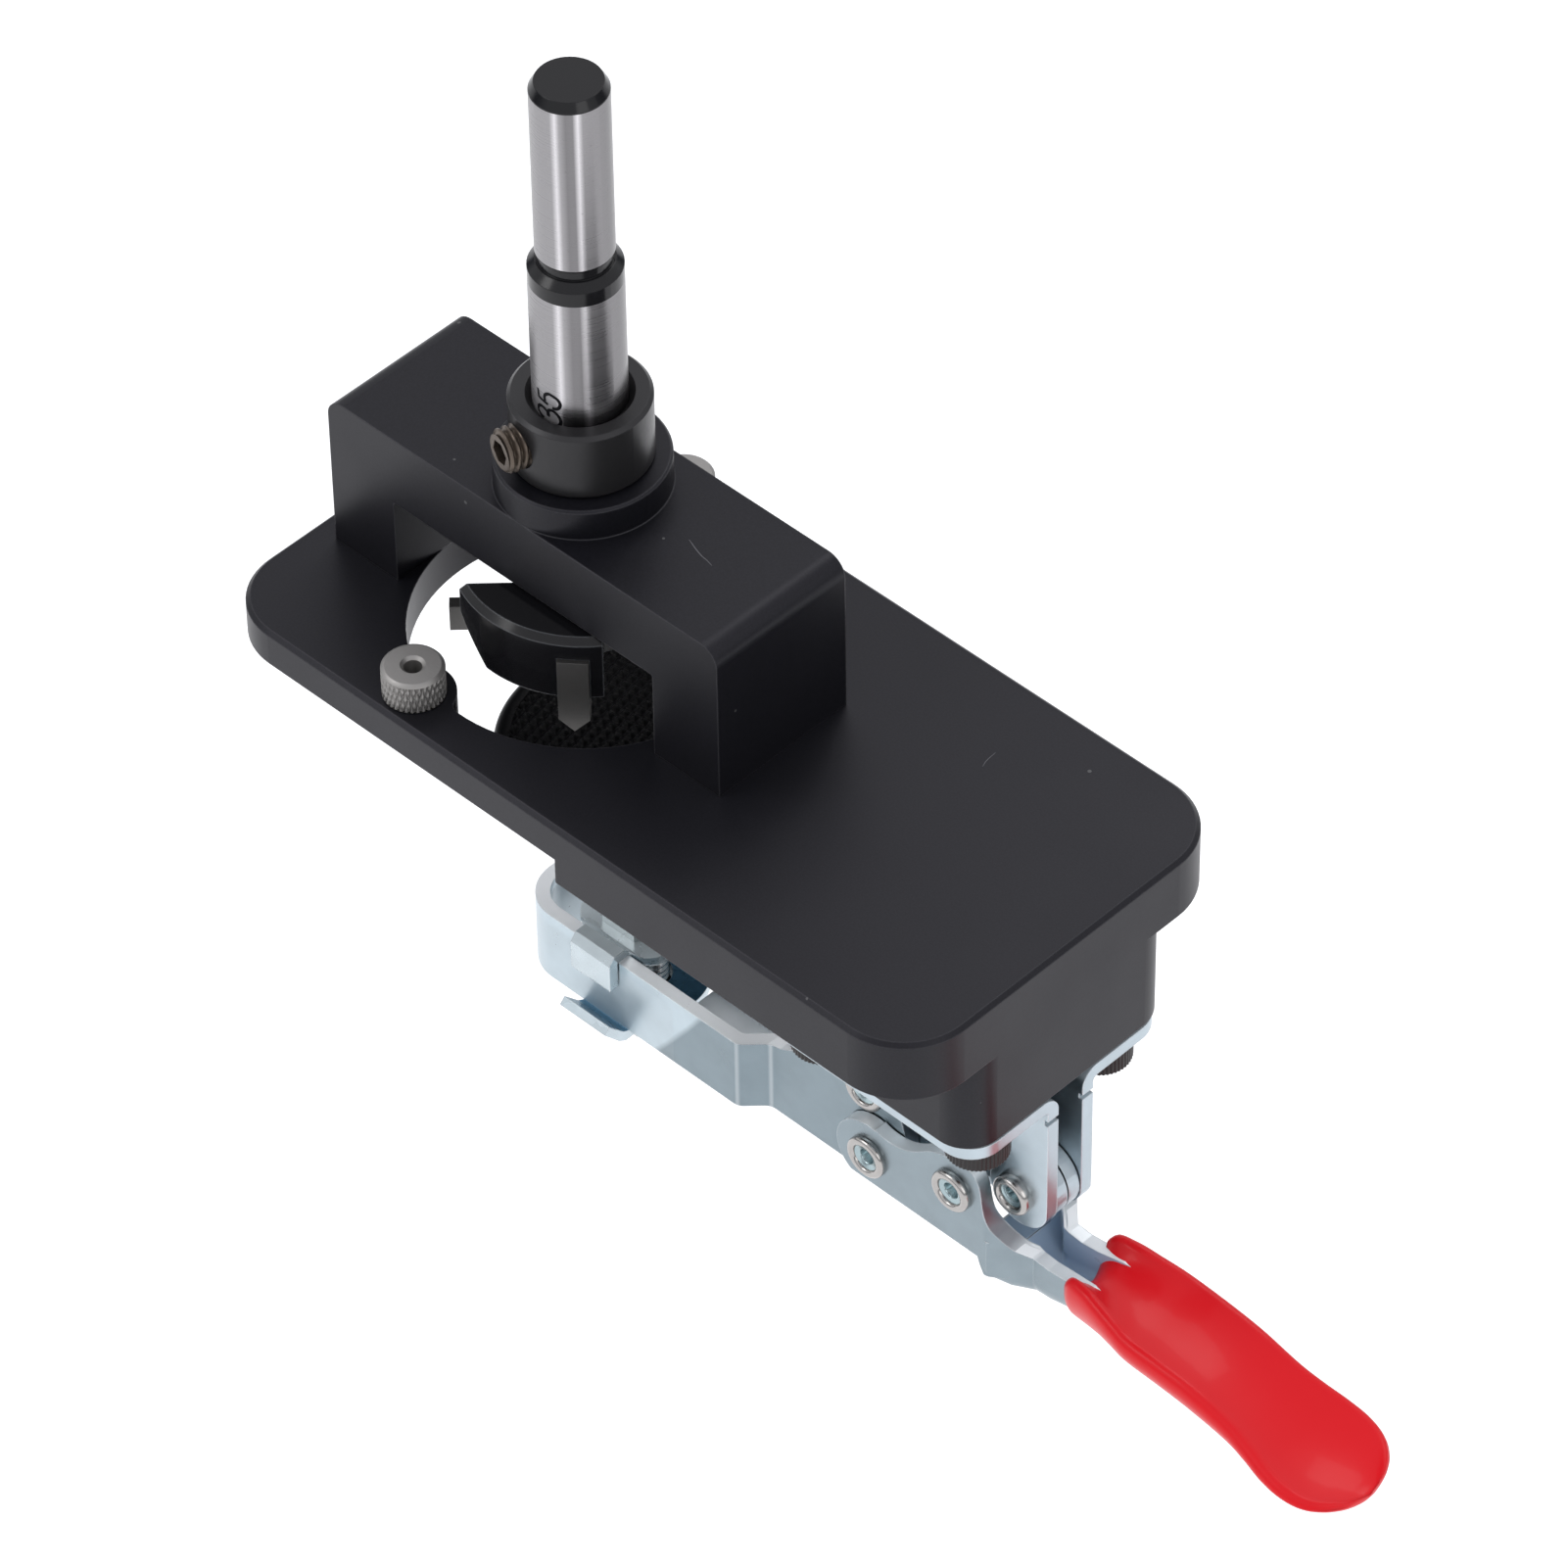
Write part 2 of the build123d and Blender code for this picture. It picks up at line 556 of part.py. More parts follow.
with BuildPart() as handle:
    for s in (-1, 1):
        with BuildSketch(Plane.XY.offset(-64)):
            with BuildLine():
                Polyline((45, s * cheek_out), (76.6, s * cheek_out), (80.9, s * 4.15), (81.5, s * 4.15),
                         (81.5, s * 2.2), (80.2, s * 2.2), (75.9, s * cheek_in), (45, s * cheek_in), close=True)
            make_face()
            fillet([v for v in vertices() if 75 < v.X < 77], 1.5)
        extrude(amount=30)
    with BuildSketch(Plane.XZ.offset(-15)):
        with BuildLine():
            Spline((57.4, -45.35), (59.6, -45.85), (62.0, -45.5), (64.6, -44.1), (67.1, -42.2), (69.6, -41.3), (72.4, -40.95))
            Spline((72.4, -40.95), (74.1, -41.15), (75.2, -42.6), (75.65, -44.6), (76.0, -46.9), (76.9, -49.6), (78.4, -52.5), (80.1, -54.6), (81.5, -55.2))
            pts = ring(bx, bz, 5.5, 77, 236, 24)
            Polyline((57.4, -45.35), *pts, (53.9, -55.6), (75.1, -55.6), (75.5, -56.8), (76.2, -58.2), (81.5, -59.5), (81.5, -55.2))
        make_face()
    extrude(amount=30, mode=Mode.INTERSECT)
    # trough that runs on into the grip
    for x, w, zt, zb, r in tail:
        with BuildSketch(Plane.YZ.offset(x)):
            q = r * (1 - math.sqrt(0.5))
            ri = r - strip_t if r > strip_t + 0.4 else 0.4
            qi = ri * (1 - math.sqrt(0.5))
            wi = w - strip_t
            zi = zb + strip_t
            with BuildLine():
                Line((-w, zt), (-w, zb + r))
                ThreePointArc((-w, zb + r), (-w + q, zb + q), (-w + r, zb))
                Line((-w + r, zb), (w - r, zb))
                ThreePointArc((w - r, zb), (w - q, zb + q), (w, zb + r))
                Line((w, zb + r), (w, zt))
                Line((w, zt), (wi, zt))
                Line((wi, zt), (wi, zi + ri))
                ThreePointArc((wi, zi + ri), (wi - qi, zi + qi), (wi - ri, zi))
                Line((wi - ri, zi), (-wi + ri, zi))
                ThreePointArc((-wi + ri, zi), (-wi + qi, zi + qi), (-wi, zi + ri))
                Line((-wi, zi + ri), (-wi, zt))
                Line((-wi, zt), (-w, zt))
            make_face()
    loft(ruled=True)
    # tongue of the trough floor that reaches in between the arm straps
    with BuildSketch(Plane.XY.offset(-59.35)):
        with Locations((74.2, 0)):
            Rectangle(4.6, 7.6)
        fillet([v for v in vertices() if v.X < 73], 2.0)
    extrude(amount=1.95)
    with BuildSketch(Plane.XZ.offset(-15)):
        with Locations((bx, bz)):
            Circle(pin_hole)
        with Locations((cx, cz)):
            Circle(pin_r)
    extrude(amount=30, mode=Mode.SUBTRACT)
handle.part.label = "handle"
export_step(handle.part, "parts/handle.step")

# ---------------------------------------------------------------- grip
grip = [
    # x, half width, rim z, bottom z, dish floor z, rim width
    (87.0, 5.2, -53.9, -61.9, -57.6, 3.7),
    (88.2, 5.6, -53.0, -61.9, -57.4, 3.9),
    (90.6, 6.0, -52.8, -61.5, -56.9, 3.9),
    (93.4, 6.6, -53.2, -60.9, -56.7, 3.9),
    (96.1, 7.1, -53.7, -60.7, -56.8, 3.9),
    (98.9, 7.5, -54.3, -60.8, -57.0, 3.9),
    (104.6, 7.5, -54.7, -61.1, -57.4, 3.9),
    (109.6, 7.4, -55.2, -61.7, -58.0, 3.9),
    (115.9, 7.4, -56.7, -62.5, -59.3, 3.9),
    (119.6, 7.9, -57.8, -62.9, -60.0, 3.9),
    (122.9, 8.5, -58.8, -63.3, -60.5, 3.9),
    (126.3, 8.7, -59.6, -63.5, -60.8, 3.7),
    (129.5, 7.95, -60.2, -63.5, -60.9, 3.2),
    (131.6, 6.3, -60.6, -63.3, -61.0, 2.6),
    (133.1, 4.1, -60.9, -62.9, -61.1, 1.7),
    (133.8, 2.2, -61.3, -62.5, -61.4, 0.9),
]

with BuildPart() as handle_grip:
    for x, w, zr, zb, zf, t in grip:
        h = zr - zb
        right = [
            (0.50 * w, zb + 0.03 * h), (0.86 * w, zb + 0.25 * h), (w, zb + 0.62 * h), (w - 0.14 * t, zr - 0.10 * h),
            (w - 0.45 * t, zr), (w - 0.78 * t, zr - 0.10 * h), (w - 1.05 * t, zf + 0.30 * (zr - zf)), (0.22 * w, zf + 0.02 * (zr - zf)),
        ]
        with BuildSketch(Plane.YZ.offset(x)):
            with BuildLine():
                Spline((0, zb), *right, (0, zf), *[(-u, v) for u, v in reversed(right)], periodic=True)
            make_face()
    loft()
    add(handle.part, mode=Mode.SUBTRACT)
handle_grip.part.label = "handle_grip"
export_step(handle_grip.part, "parts/handle_grip.step")

# ---------------------------------------------------------------- saddle washers
with BuildPart() as saddle_washer_upper:
    with BuildSketch(Plane.YZ.offset(sx - 7.0)):
        with BuildLine():
            Polyline((-10.85, -50.2), (-10.85, arm_top + 0.3), (-9.9, arm_top + washer_t), (-8.1, arm_top + washer_t), (-6.3, arm_top - dish),
                     (6.3, arm_top - dish), (8.1, arm_top + washer_t), (9.9, arm_top + washer_t), (10.85, arm_top + 0.3),
                     (10.85, -50.2), (9.35, -50.2), (9.35, arm_top), (7.1, arm_top), (5.6, arm_top - dish - washer_t),
                     (-5.6, arm_top - dish - washer_t), (-7.1, arm_top), (-9.35, arm_top), (-9.35, -50.2), close=True)
        make_face()
    extrude(amount=14.0)
    with BuildSketch(Plane.XY.offset(-52)):
        with Locations((sx, 0)):
            Circle(8.4)
        with Locations((sx + 0.7, 0)):
            Rectangle(7.0, 26)
    extrude(amount=10, mode=Mode.INTERSECT)
    with Locations((sx, 0, -48)):
        Cylinder(3.3, 12, mode=Mode.SUBTRACT)
saddle_washer_upper.part.label = "saddle_washer_upper"
export_step(saddle_washer_upper.part, "parts/saddle_washer_upper.step")

with BuildPart() as saddle_washer_lower:
    with BuildSketch(Plane.YZ.offset(sx - 7.0)):
        with BuildLine():
            Polyline((-12.6, -54.3), (-13.5, -55.2), (-10.9, -58.2), (-9.7, arm_low - washer_t), (9.7, arm_low - washer_t), (10.9, -58.2), (13.5, -55.2), (12.6, -54.3),
                     (10.2, -56.9), (9.35, arm_low), (-9.35, arm_low), (-10.2, -56.9), close=True)
        make_face()
    extrude(amount=15.5)
    with BuildSketch(Plane.XY.offset(-62)):
        with Locations((sx, 0)):
            Circle(8.4)
        with Locations((sx + 1.6, 0)):
            Rectangle(8.2, 30)
    extrude(amount=10, mode=Mode.INTERSECT)
    with Locations((sx, 0, -58)):
        Cylinder(3.3, 12, mode=Mode.SUBTRACT)
saddle_washer_lower.part.label = "saddle_washer_lower"
export_step(saddle_washer_lower.part, "parts/saddle_washer_lower.step")

# ---------------------------------------------------------------- spindle, nuts, pad
with BuildPart() as pad_spindle:
    with Locations((sx, 0, (pad_low + spindle_low) / 2)):
        Cylinder(spindle_r, pad_low - spindle_low)
    chamfer(pad_spindle.edges().filter_by(GeomType.CIRCLE).sort_by(Axis.Z)[0], 0.6)
    with Locations((sx, 0, pad_low - 1.0)):
        Cylinder(9.0, 2.0)
    with Locations((sx, 0, pad_low + 1.25)):
        Cylinder(spindle_r, 2.5)
pad_spindle.part.label = "pad_spindle"
export_step(pad_spindle.part, "parts/pad_spindle.step")

with BuildPart() as spindle_nut_upper:
    with BuildSketch(Plane.XY.offset(arm_top - dish)):
        with Locations((sx, 0)):
            RegularPolygon(nut_af / 2, 6, major_radius=False)
            Circle(spindle_r + run_gap, mode=Mode.SUBTRACT)
    extrude(amount=nut_h)
spindle_nut_upper.part.label = "spindle_nut_upper"
export_step(spindle_nut_upper.part, "parts/spindle_nut_upper.step")

with BuildPart() as spindle_nut_lower:
    with BuildSketch(Plane.XY.offset(arm_low - washer_t - nut_h)):
        with Locations((sx, 0)):
            RegularPolygon(nut_af / 2, 6, major_radius=False)
            Circle(spindle_r + run_gap, mode=Mode.SUBTRACT)
    extrude(amount=nut_h)
spindle_nut_lower.part.label = "spindle_nut_lower"
export_step(spindle_nut_lower.part, "parts/spindle_nut_lower.step")

with BuildPart() as rubber_pad:
    with Locations((sx, 0, (pad_low + pad_top) / 2)):
        Cylinder(pad_r, pad_top - pad_low)
    chamfer(rubber_pad.edges().filter_by(GeomType.CIRCLE).sort_by(Axis.Z)[-1], 1.2)
    with Locations((sx, 0, pad_low + 1.25)):
        Cylinder(spindle_r, 2.5, mode=Mode.SUBTRACT)
rubber_pad.part.label = "rubber_pad"
export_step(rubber_pad.part, "parts/rubber_pad.step")
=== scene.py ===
import math
import random

import bpy
import numpy as np
from mathutils import Matrix, Vector


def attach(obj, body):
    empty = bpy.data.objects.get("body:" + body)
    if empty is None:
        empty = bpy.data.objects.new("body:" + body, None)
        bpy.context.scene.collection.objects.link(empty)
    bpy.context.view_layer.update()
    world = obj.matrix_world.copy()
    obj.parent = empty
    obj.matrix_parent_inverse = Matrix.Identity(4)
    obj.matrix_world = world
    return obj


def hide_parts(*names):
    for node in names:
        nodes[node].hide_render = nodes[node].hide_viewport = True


random.seed(7)
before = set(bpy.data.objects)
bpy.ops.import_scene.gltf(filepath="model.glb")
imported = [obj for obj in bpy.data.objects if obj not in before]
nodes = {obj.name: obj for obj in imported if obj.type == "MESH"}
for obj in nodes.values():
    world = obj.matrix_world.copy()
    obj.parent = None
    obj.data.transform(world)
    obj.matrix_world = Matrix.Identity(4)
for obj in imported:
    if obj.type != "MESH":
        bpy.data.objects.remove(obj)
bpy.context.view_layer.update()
MM = 0.001


# ------------------------------------------------------------ materials
def new_mat(name):
    m = bpy.data.materials.new(name)
    m.use_nodes = True
    nt = m.node_tree
    for n in list(nt.nodes):
        nt.nodes.remove(n)
    out = nt.nodes.new("ShaderNodeOutputMaterial")
    b = nt.nodes.new("ShaderNodeBsdfPrincipled")
    nt.links.new(b.outputs[0], out.inputs[0])
    return m, nt, b, out


def set_in(b, **kw):
    for k, v in kw.items():
        key = k.replace("_", " ")
        if key in b.inputs:
            b.inputs[key].default_value = v


def node(nt, kind, **kw):
    n = nt.nodes.new(kind)
    for k, v in kw.items():
        setattr(n, k, v)
    return n


def coords(nt, scale=(1, 1, 1)):
    tc = node(nt, "ShaderNodeTexCoord")
    mp = node(nt, "ShaderNodeMapping")
    mp.inputs["Scale"].default_value = scale
    nt.links.new(tc.outputs["Object"], mp.inputs["Vector"])
    return mp.outputs["Vector"]


def noise(nt, vec, scale, detail=2.0, rough=0.5):
    n = node(nt, "ShaderNodeTexNoise")
    n.inputs["Scale"].default_value = scale
    n.inputs["Detail"].default_value = detail
    n.inputs["Roughness"].default_value = rough
    nt.links.new(vec, n.inputs["Vector"])
    return n


def ramp(nt, fac, stops):
    r = node(nt, "ShaderNodeValToRGB")
    e = r.color_ramp.elements
    while len(e) < len(stops):
        e.new(0.5)
    for i, (p, c) in enumerate(stops):
        e[i].position = p
        e[i].color = (c, c, c, 1) if not isinstance(c, tuple) else (*c, 1)
    nt.links.new(fac, r.inputs["Fac"])
    return r.outputs["Color"]


def mix_color(nt, fac, a, b):
    m = node(nt, "ShaderNodeMix", data_type="RGBA")
    if isinstance(fac, float):
        m.inputs[0].default_value = fac
    else:
        nt.links.new(fac, m.inputs[0])
    for sock, v in ((m.inputs[6], a), (m.inputs[7], b)):
        if isinstance(v, tuple):
            sock.default_value = (*v, 1)
        else:
            nt.links.new(v, sock)
    return m.outputs[2]


def math_node(nt, op, a, b=None):
    m = node(nt, "ShaderNodeMath", operation=op)
    for i, v in enumerate((a, b)):
        if v is None:
            continue
        if isinstance(v, (int, float)):
            m.inputs[i].default_value = v
        else:
            nt.links.new(v, m.inputs[i])
    return m.outputs[0]


def bevel_bump(nt, b, radius, height=None, strength=0.2, distance=0.0001, samples=4):
    bv = node(nt, "ShaderNodeBevel", samples=samples)
    bv.inputs["Radius"].default_value = radius
    if height is None:
        nt.links.new(bv.outputs[0], b.inputs["Normal"])
        return
    bp = node(nt, "ShaderNodeBump")
    bp.inputs["Strength"].default_value = strength
    bp.inputs["Distance"].default_value = distance
    nt.links.new(height, bp.inputs["Height"])
    nt.links.new(bv.outputs[0], bp.inputs["Normal"])
    nt.links.new(bp.outputs[0], b.inputs["Normal"])


def edge_mask(nt, radius, lo=0.02, hi=0.16):
    """Where a rounded edge is near: the rounded normal differs from the face's own."""
    bv = node(nt, "ShaderNodeBevel", samples=4)
    bv.inputs["Radius"].default_value = radius
    geo = node(nt, "ShaderNodeNewGeometry")
    dot = node(nt, "ShaderNodeVectorMath", operation="DOT_PRODUCT")
    nt.links.new(bv.outputs[0], dot.inputs[0])
    nt.links.new(geo.outputs["Normal"], dot.inputs[1])
    off = math_node(nt, "SUBTRACT", 1.0, dot.outputs["Value"])
    return ramp(nt, off, [(lo, 0.0), (hi, 1.0)])


def anodised(name, base=0.012, rough=0.42, dust=0.55, spec=0.27, edge_wear_and_highlight_amount=0.35):
    m, nt, b, out = new_mat(name)
    v = coords(nt)
    n1 = noise(nt, v, 3500, 2.0)
    n2 = noise(nt, v, 60, 3.0)
    # fine grain of the etched surface and slow clouding
    r = ramp(nt, n2.outputs["Fac"], [(0.3, rough - 0.03), (0.7, rough + 0.04)])
    nt.links.new(r, b.inputs["Roughness"])
    # sparse pale dust
    vo = node(nt, "ShaderNodeTexVoronoi", feature="F1")
    vo.inputs["Scale"].default_value = 330
    nt.links.new(v, vo.inputs["Vector"])
    dot = math_node(nt, "LESS_THAN", vo.outputs["Distance"], 0.085)
    wn = node(nt, "ShaderNodeTexWhiteNoise", noise_dimensions="3D")
    nt.links.new(vo.outputs["Position"], wn.inputs["Vector"])
    few = math_node(nt, "GREATER_THAN", wn.outputs["Value"], 0.93)
    dots = math_node(nt, "MULTIPLY", dot, few)
    dots = math_node(nt, "MULTIPLY", dots, dust)
    grain = ramp(nt, n1.outputs["Fac"], [(0.35, (base * 0.8, base * 0.8, base * 1.05)), (0.65, (base * 1.2, base * 1.2, base * 1.6))])
    col = mix_color(nt, dots, grain, (0.12, 0.12, 0.12))
    # lighter rounded edges: partly a rubbed-through finish, partly painted highlight
    edge_wear_and_highlight = math_node(nt, "MULTIPLY", edge_mask(nt, 0.0003), edge_wear_and_highlight_amount)
    col = mix_color(nt, edge_wear_and_highlight, col, (0.16, 0.16, 0.17))
    nt.links.new(col, b.inputs["Base Color"])
    set_in(b, Metallic=0.0, IOR=1.5)
    b.inputs["Specular IOR Level"].default_value = spec
    b.inputs["Specular Tint"].default_value = (0.93, 0.91, 1.0, 1)
    bevel_bump(nt, b, 0.0003, n1.outputs["Fac"], 0.12, 0.00003)
    return m


def zinc(name, base=(0.50, 0.585, 0.63), rough=0.32, tint=0.09, grey=(0.235, 0.29, 0.32), rim=(0.74, 0.78, 0.80), channel=None, up=None, lines=(), x_min=0.0722, z_max=-0.0535, floor_z=-0.0562, y_max=1.0):
    """Blue-passivated zinc: paler at the front of the arm, greyer behind it; on the arm that greyer rear is painted
    shade and reflection of the dark block above. Rounded edges, bend creases and up-looking faces carry painted light,
    or painted shade where a dark top colour is given.
    """
    m, nt, b, out = new_mat(name)
    v = coords(nt)
    n1 = noise(nt, v, 260, 4.0)
    n2 = noise(nt, v, 2200, 2.0)
    n3 = noise(nt, v, 45, 2.0)
    dark = tuple(c * (1 - tint) for c in base)
    pale = ramp(nt, n1.outputs["Fac"], [(0.35, dark), (0.65, base)])
    deep = ramp(nt, n1.outputs["Fac"], [(0.35, tuple(c * 0.9 for c in grey)), (0.65, grey)])
    tc = node(nt, "ShaderNodeTexCoord")
    sep = node(nt, "ShaderNodeSeparateXYZ")
    nt.links.new(tc.outputs["Object"], sep.inputs[0])
    # behind a sloping boundary running along Y the colour turns greyer: on the arm this is painted shade and reflection
    # of the dark block above
    xx = math_node(nt, "SUBTRACT", sep.outputs["X"], math_node(nt, "MULTIPLY", math_node(nt, "ADD", sep.outputs["Z"], 0.052), 0.74))
    xx = math_node(nt, "ADD", xx, math_node(nt, "MULTIPLY", n3.outputs["Fac"], 0.004))
    xx = math_node(nt, "MULTIPLY", math_node(nt, "SUBTRACT", xx, 0.0249), 900.0)
    xx = ramp(nt, xx, [(0.0, 0.0), (1.0, 1.0)])
    col = mix_color(nt, xx, pale, deep)
    # painted highlights: pale thin strips at the bends, where the light catches them
    for at in lines:
        off = math_node(nt, "ABSOLUTE", math_node(nt, "SUBTRACT", sep.outputs["X"], at))
        painted_bend_highlight = ramp(nt, math_node(nt, "MULTIPLY", off, 2500.0), [(0.2, 0.24), (1.0, 0.0)])
        col = mix_color(nt, painted_bend_highlight, col, (0.85, 0.87, 0.88))
    # painted light on up-looking faces: a lighter top colour for lit tops, a dark one for painted shade
    if up is not None:
        top = node(nt, "ShaderNodeSeparateXYZ")
        nt.links.new(tc.outputs["Normal"], top.inputs[0])
        near = math_node(nt, "LESS_THAN", math_node(nt, "ABSOLUTE", sep.outputs["Y"]), y_max)
        painted_top_light_shade_mask = math_node(nt, "MULTIPLY", near, ramp(nt, top.outputs["Z"], [(0.45, 0.0), (0.75, 1.0)]))
        col = mix_color(nt, painted_top_light_shade_mask, col, up)
    dull = None
    if channel is not None:
        # a deeper blue inside the trough, on faces that look up or inward
        nrm = node(nt, "ShaderNodeSeparateXYZ")
        nt.links.new(tc.outputs["Normal"], nrm.inputs[0])
        inward = math_node(nt, "MULTIPLY", sep.outputs["Y"], nrm.outputs["Y"])
        inward = math_node(nt, "LESS_THAN", inward, -0.0004)
        floor_ = math_node(nt, "GREATER_THAN", nrm.outputs["Z"], 0.3)
        face = math_node(nt, "MAXIMUM", inward, math_node(nt, "MULTIPLY", floor_, math_node(nt, "LESS_THAN", sep.outputs["Z"], floor_z)))
        far = math_node(nt, "GREATER_THAN", sep.outputs["X"], x_min)
        low = math_node(nt, "LESS_THAN", sep.outputs["Z"], z_max)
        face = math_node(nt, "MULTIPLY", face, math_node(nt, "MULTIPLY", far, low))
        col = mix_color(nt, face, col, channel)
        dull = face
    # painted highlight: rounded edges lightened toward the pale rim colour
    col = mix_color(nt, math_node(nt, "MULTIPLY", edge_mask(nt, 0.0003, 0.06, 0.20), 0.65), col, rim)
    nt.links.new(col, b.inputs["Base Color"])
    r = ramp(nt, n1.outputs["Fac"], [(0.3, rough - 0.05), (0.7, rough + 0.06)])
    nt.links.new(r, b.inputs["Roughness"])
    tn = node(nt, "ShaderNodeSeparateXYZ")
    nt.links.new(tc.outputs["Normal"], tn.inputs[0])
    met = ramp(nt, tn.outputs["Z"], [(0.35, 1.0), (0.65, 0.35)])
    if dull is not None:
        met = mix_color(nt, dull, met, (0.05, 0.05, 0.05))
    if lines:
        # the passivated face just above the lower saddle plate mirrors little
        low = math_node(nt, "LESS_THAN", sep.outputs["Z"], -0.0475)
        front = math_node(nt, "LESS_THAN", sep.outputs["X"], 0.0225)
        met = mix_color(nt, math_node(nt, "MULTIPLY", math_node(nt, "MULTIPLY", low, front), 0.8), met, (0.3, 0.3, 0.3))
    nt.links.new(met, b.inputs["Metallic"])
    bevel_bump(nt, b, 0.00025, n2.outputs["Fac"], 0.10, 0.00004)
    return m


def plain(name, base, metallic=0.0, rough=0.4, bump=None, bevel=0.0002, coat=0.0, spec=0.5):
    m, nt, b, out = new_mat(name)
    b.inputs["Base Color"].default_value = (*base, 1)
    set_in(b, Metallic=metallic)
    b.inputs["Specular IOR Level"].default_value = spec
    b.inputs["Coat Weight"].default_value = coat
    b.inputs["Coat Roughness"].default_value = 0.08
    v = coords(nt)
    n1 = noise(nt, v, bump[0] if bump else 900, 3.0)
    r = ramp(nt, n1.outputs["Fac"], [(0.1, max(0.02, rough - 0.05)), (0.9, rough + 0.05)])
    nt.links.new(r, b.inputs["Roughness"])
    bevel_bump(nt, b, bevel, n1.outputs["Fac"], bump[1] if bump else 0.05, 0.00003)
    return m


def painted_shank_reflections(nt):
    """Painted reflections: bright and dark streaks that run along a turned shank, set by the direction its surface
    faces.
    """
    geo = node(nt, "ShaderNodeTexCoord")
    dot = node(nt, "ShaderNodeVectorMath", operation="DOT_PRODUCT")
    nt.links.new(geo.outputs["Normal"], dot.inputs[0])
    dot.inputs[1].default_value = (0.7124, 0.7018, 0.0)
    f = math_node(nt, "MULTIPLY", math_node(nt, "ADD", dot.outputs["Value"], 1.0), 0.5)
    return ramp(nt, f, [(0.0, 0.18), (0.06, 0.27), (0.26, 0.31), (0.32, 0.68), (0.37, 0.33), (0.45, 0.20), (0.54, 0.22), (0.60, 0.76), (0.66, 0.33), (0.86, 0.245), (1.0, 0.14)])


def bit_material(name):
    """Ground steel on the guided shank and the drive end, black elsewhere, by height on the bit; the steel carries
    painted reflections and the head's edges painted highlights.
    """
    m, nt, b, out = new_mat(name)
    tc = node(nt, "ShaderNodeTexCoord")
    sep = node(nt, "ShaderNodeSeparateXYZ")
    nt.links.new(tc.outputs["Object"], sep.inputs[0])
    z = sep.outputs["Z"]

    def band(lo, hi):
        a = math_node(nt, "GREATER_THAN", z, lo * MM)
        c = math_node(nt, "LESS_THAN", z, hi * MM)
        return math_node(nt, "MULTIPLY", a, c)

    steel = math_node(nt, "ADD", band(14.0, 57.9), band(62.75, 87.45))
    vec = coords(nt, (60, 60, 5000))
    n1 = noise(nt, vec, 1.0, 3.0, 0.6)
    v2 = coords(nt)
    n2 = noise(nt, v2, 500, 2.0)
    n3 = noise(nt, v2, 1800, 2.0)
    speck = ramp(nt, n3.outputs["Fac"], [(0.2, 0.80), (0.3, 1.0)])
    # painted reflections along the shank
    painted_reflection_bands = painted_shank_reflections(nt)
    lines = ramp(nt, n1.outputs["Fac"], [(0.3, 0.94), (0.7, 1.0)])
    mul = node(nt, "ShaderNodeMix", data_type="RGBA", blend_type="MULTIPLY")
    mul.inputs[0].default_value = 1.0
    nt.links.new(painted_reflection_bands, mul.inputs[6])
    nt.links.new(lines, mul.inputs[7])
    mul2 = node(nt, "ShaderNodeMix", data_type="RGBA", blend_type="MULTIPLY")
    mul2.inputs[0].default_value = 1.0
    nt.links.new(mul.outputs[2], mul2.inputs[6])
    nt.links.new(speck, mul2.inputs[7])
    tint = node(nt, "ShaderNodeMix", data_type="RGBA", blend_type="MULTIPLY")
    tint.inputs[0].default_value = 1.0
    nt.links.new(mul2.outputs[2], tint.inputs[6])
    tint.inputs[7].default_value = (1.0, 0.975, 1.0, 1)
    col = mix_color(nt, steel, (0.006, 0.006, 0.007), tint.outputs[2])
    # painted highlight: rounded edges on the black head lightened
    low = math_node(nt, "LESS_THAN", z, 13.0 * MM)
    col = mix_color(nt, math_node(nt, "MULTIPLY", math_node(nt, "MULTIPLY", edge_mask(nt, 0.00028), low), 0.5), col, (0.30, 0.32, 0.34))
    nt.links.new(col, b.inputs["Base Color"])
    b.inputs["Specular IOR Level"].default_value = 0.30
    rs = ramp(nt, n1.outputs["Fac"], [(0.3, 0.26), (0.7, 0.32)])
    rr = mix_color(nt, steel, (0.16, 0.16, 0.16), rs)
    nt.links.new(rr, b.inputs["Roughness"])
    left = node(nt, "ShaderNodeVectorMath", operation="DOT_PRODUCT")
    nt.links.new(tc.outputs["Normal"], left.inputs[0])
    left.inputs[1].default_value = (0.7124, 0.7018, 0.0)
    part = ramp(nt, math_node(nt, "MULTIPLY", math_node(nt, "ADD", left.outputs["Value"], 1.0), 0.5), [(0.28, 0.45), (0.34, 1.0)])
    nt.links.new(math_node(nt, "MULTIPLY", steel, part), b.inputs["Metallic"])
    h = mix_color(nt, steel, n2.outputs["Fac"], n1.outputs["Fac"])
    bevel_bump(nt, b, 0.0002, h, 0.10, 0.00002)
    return m


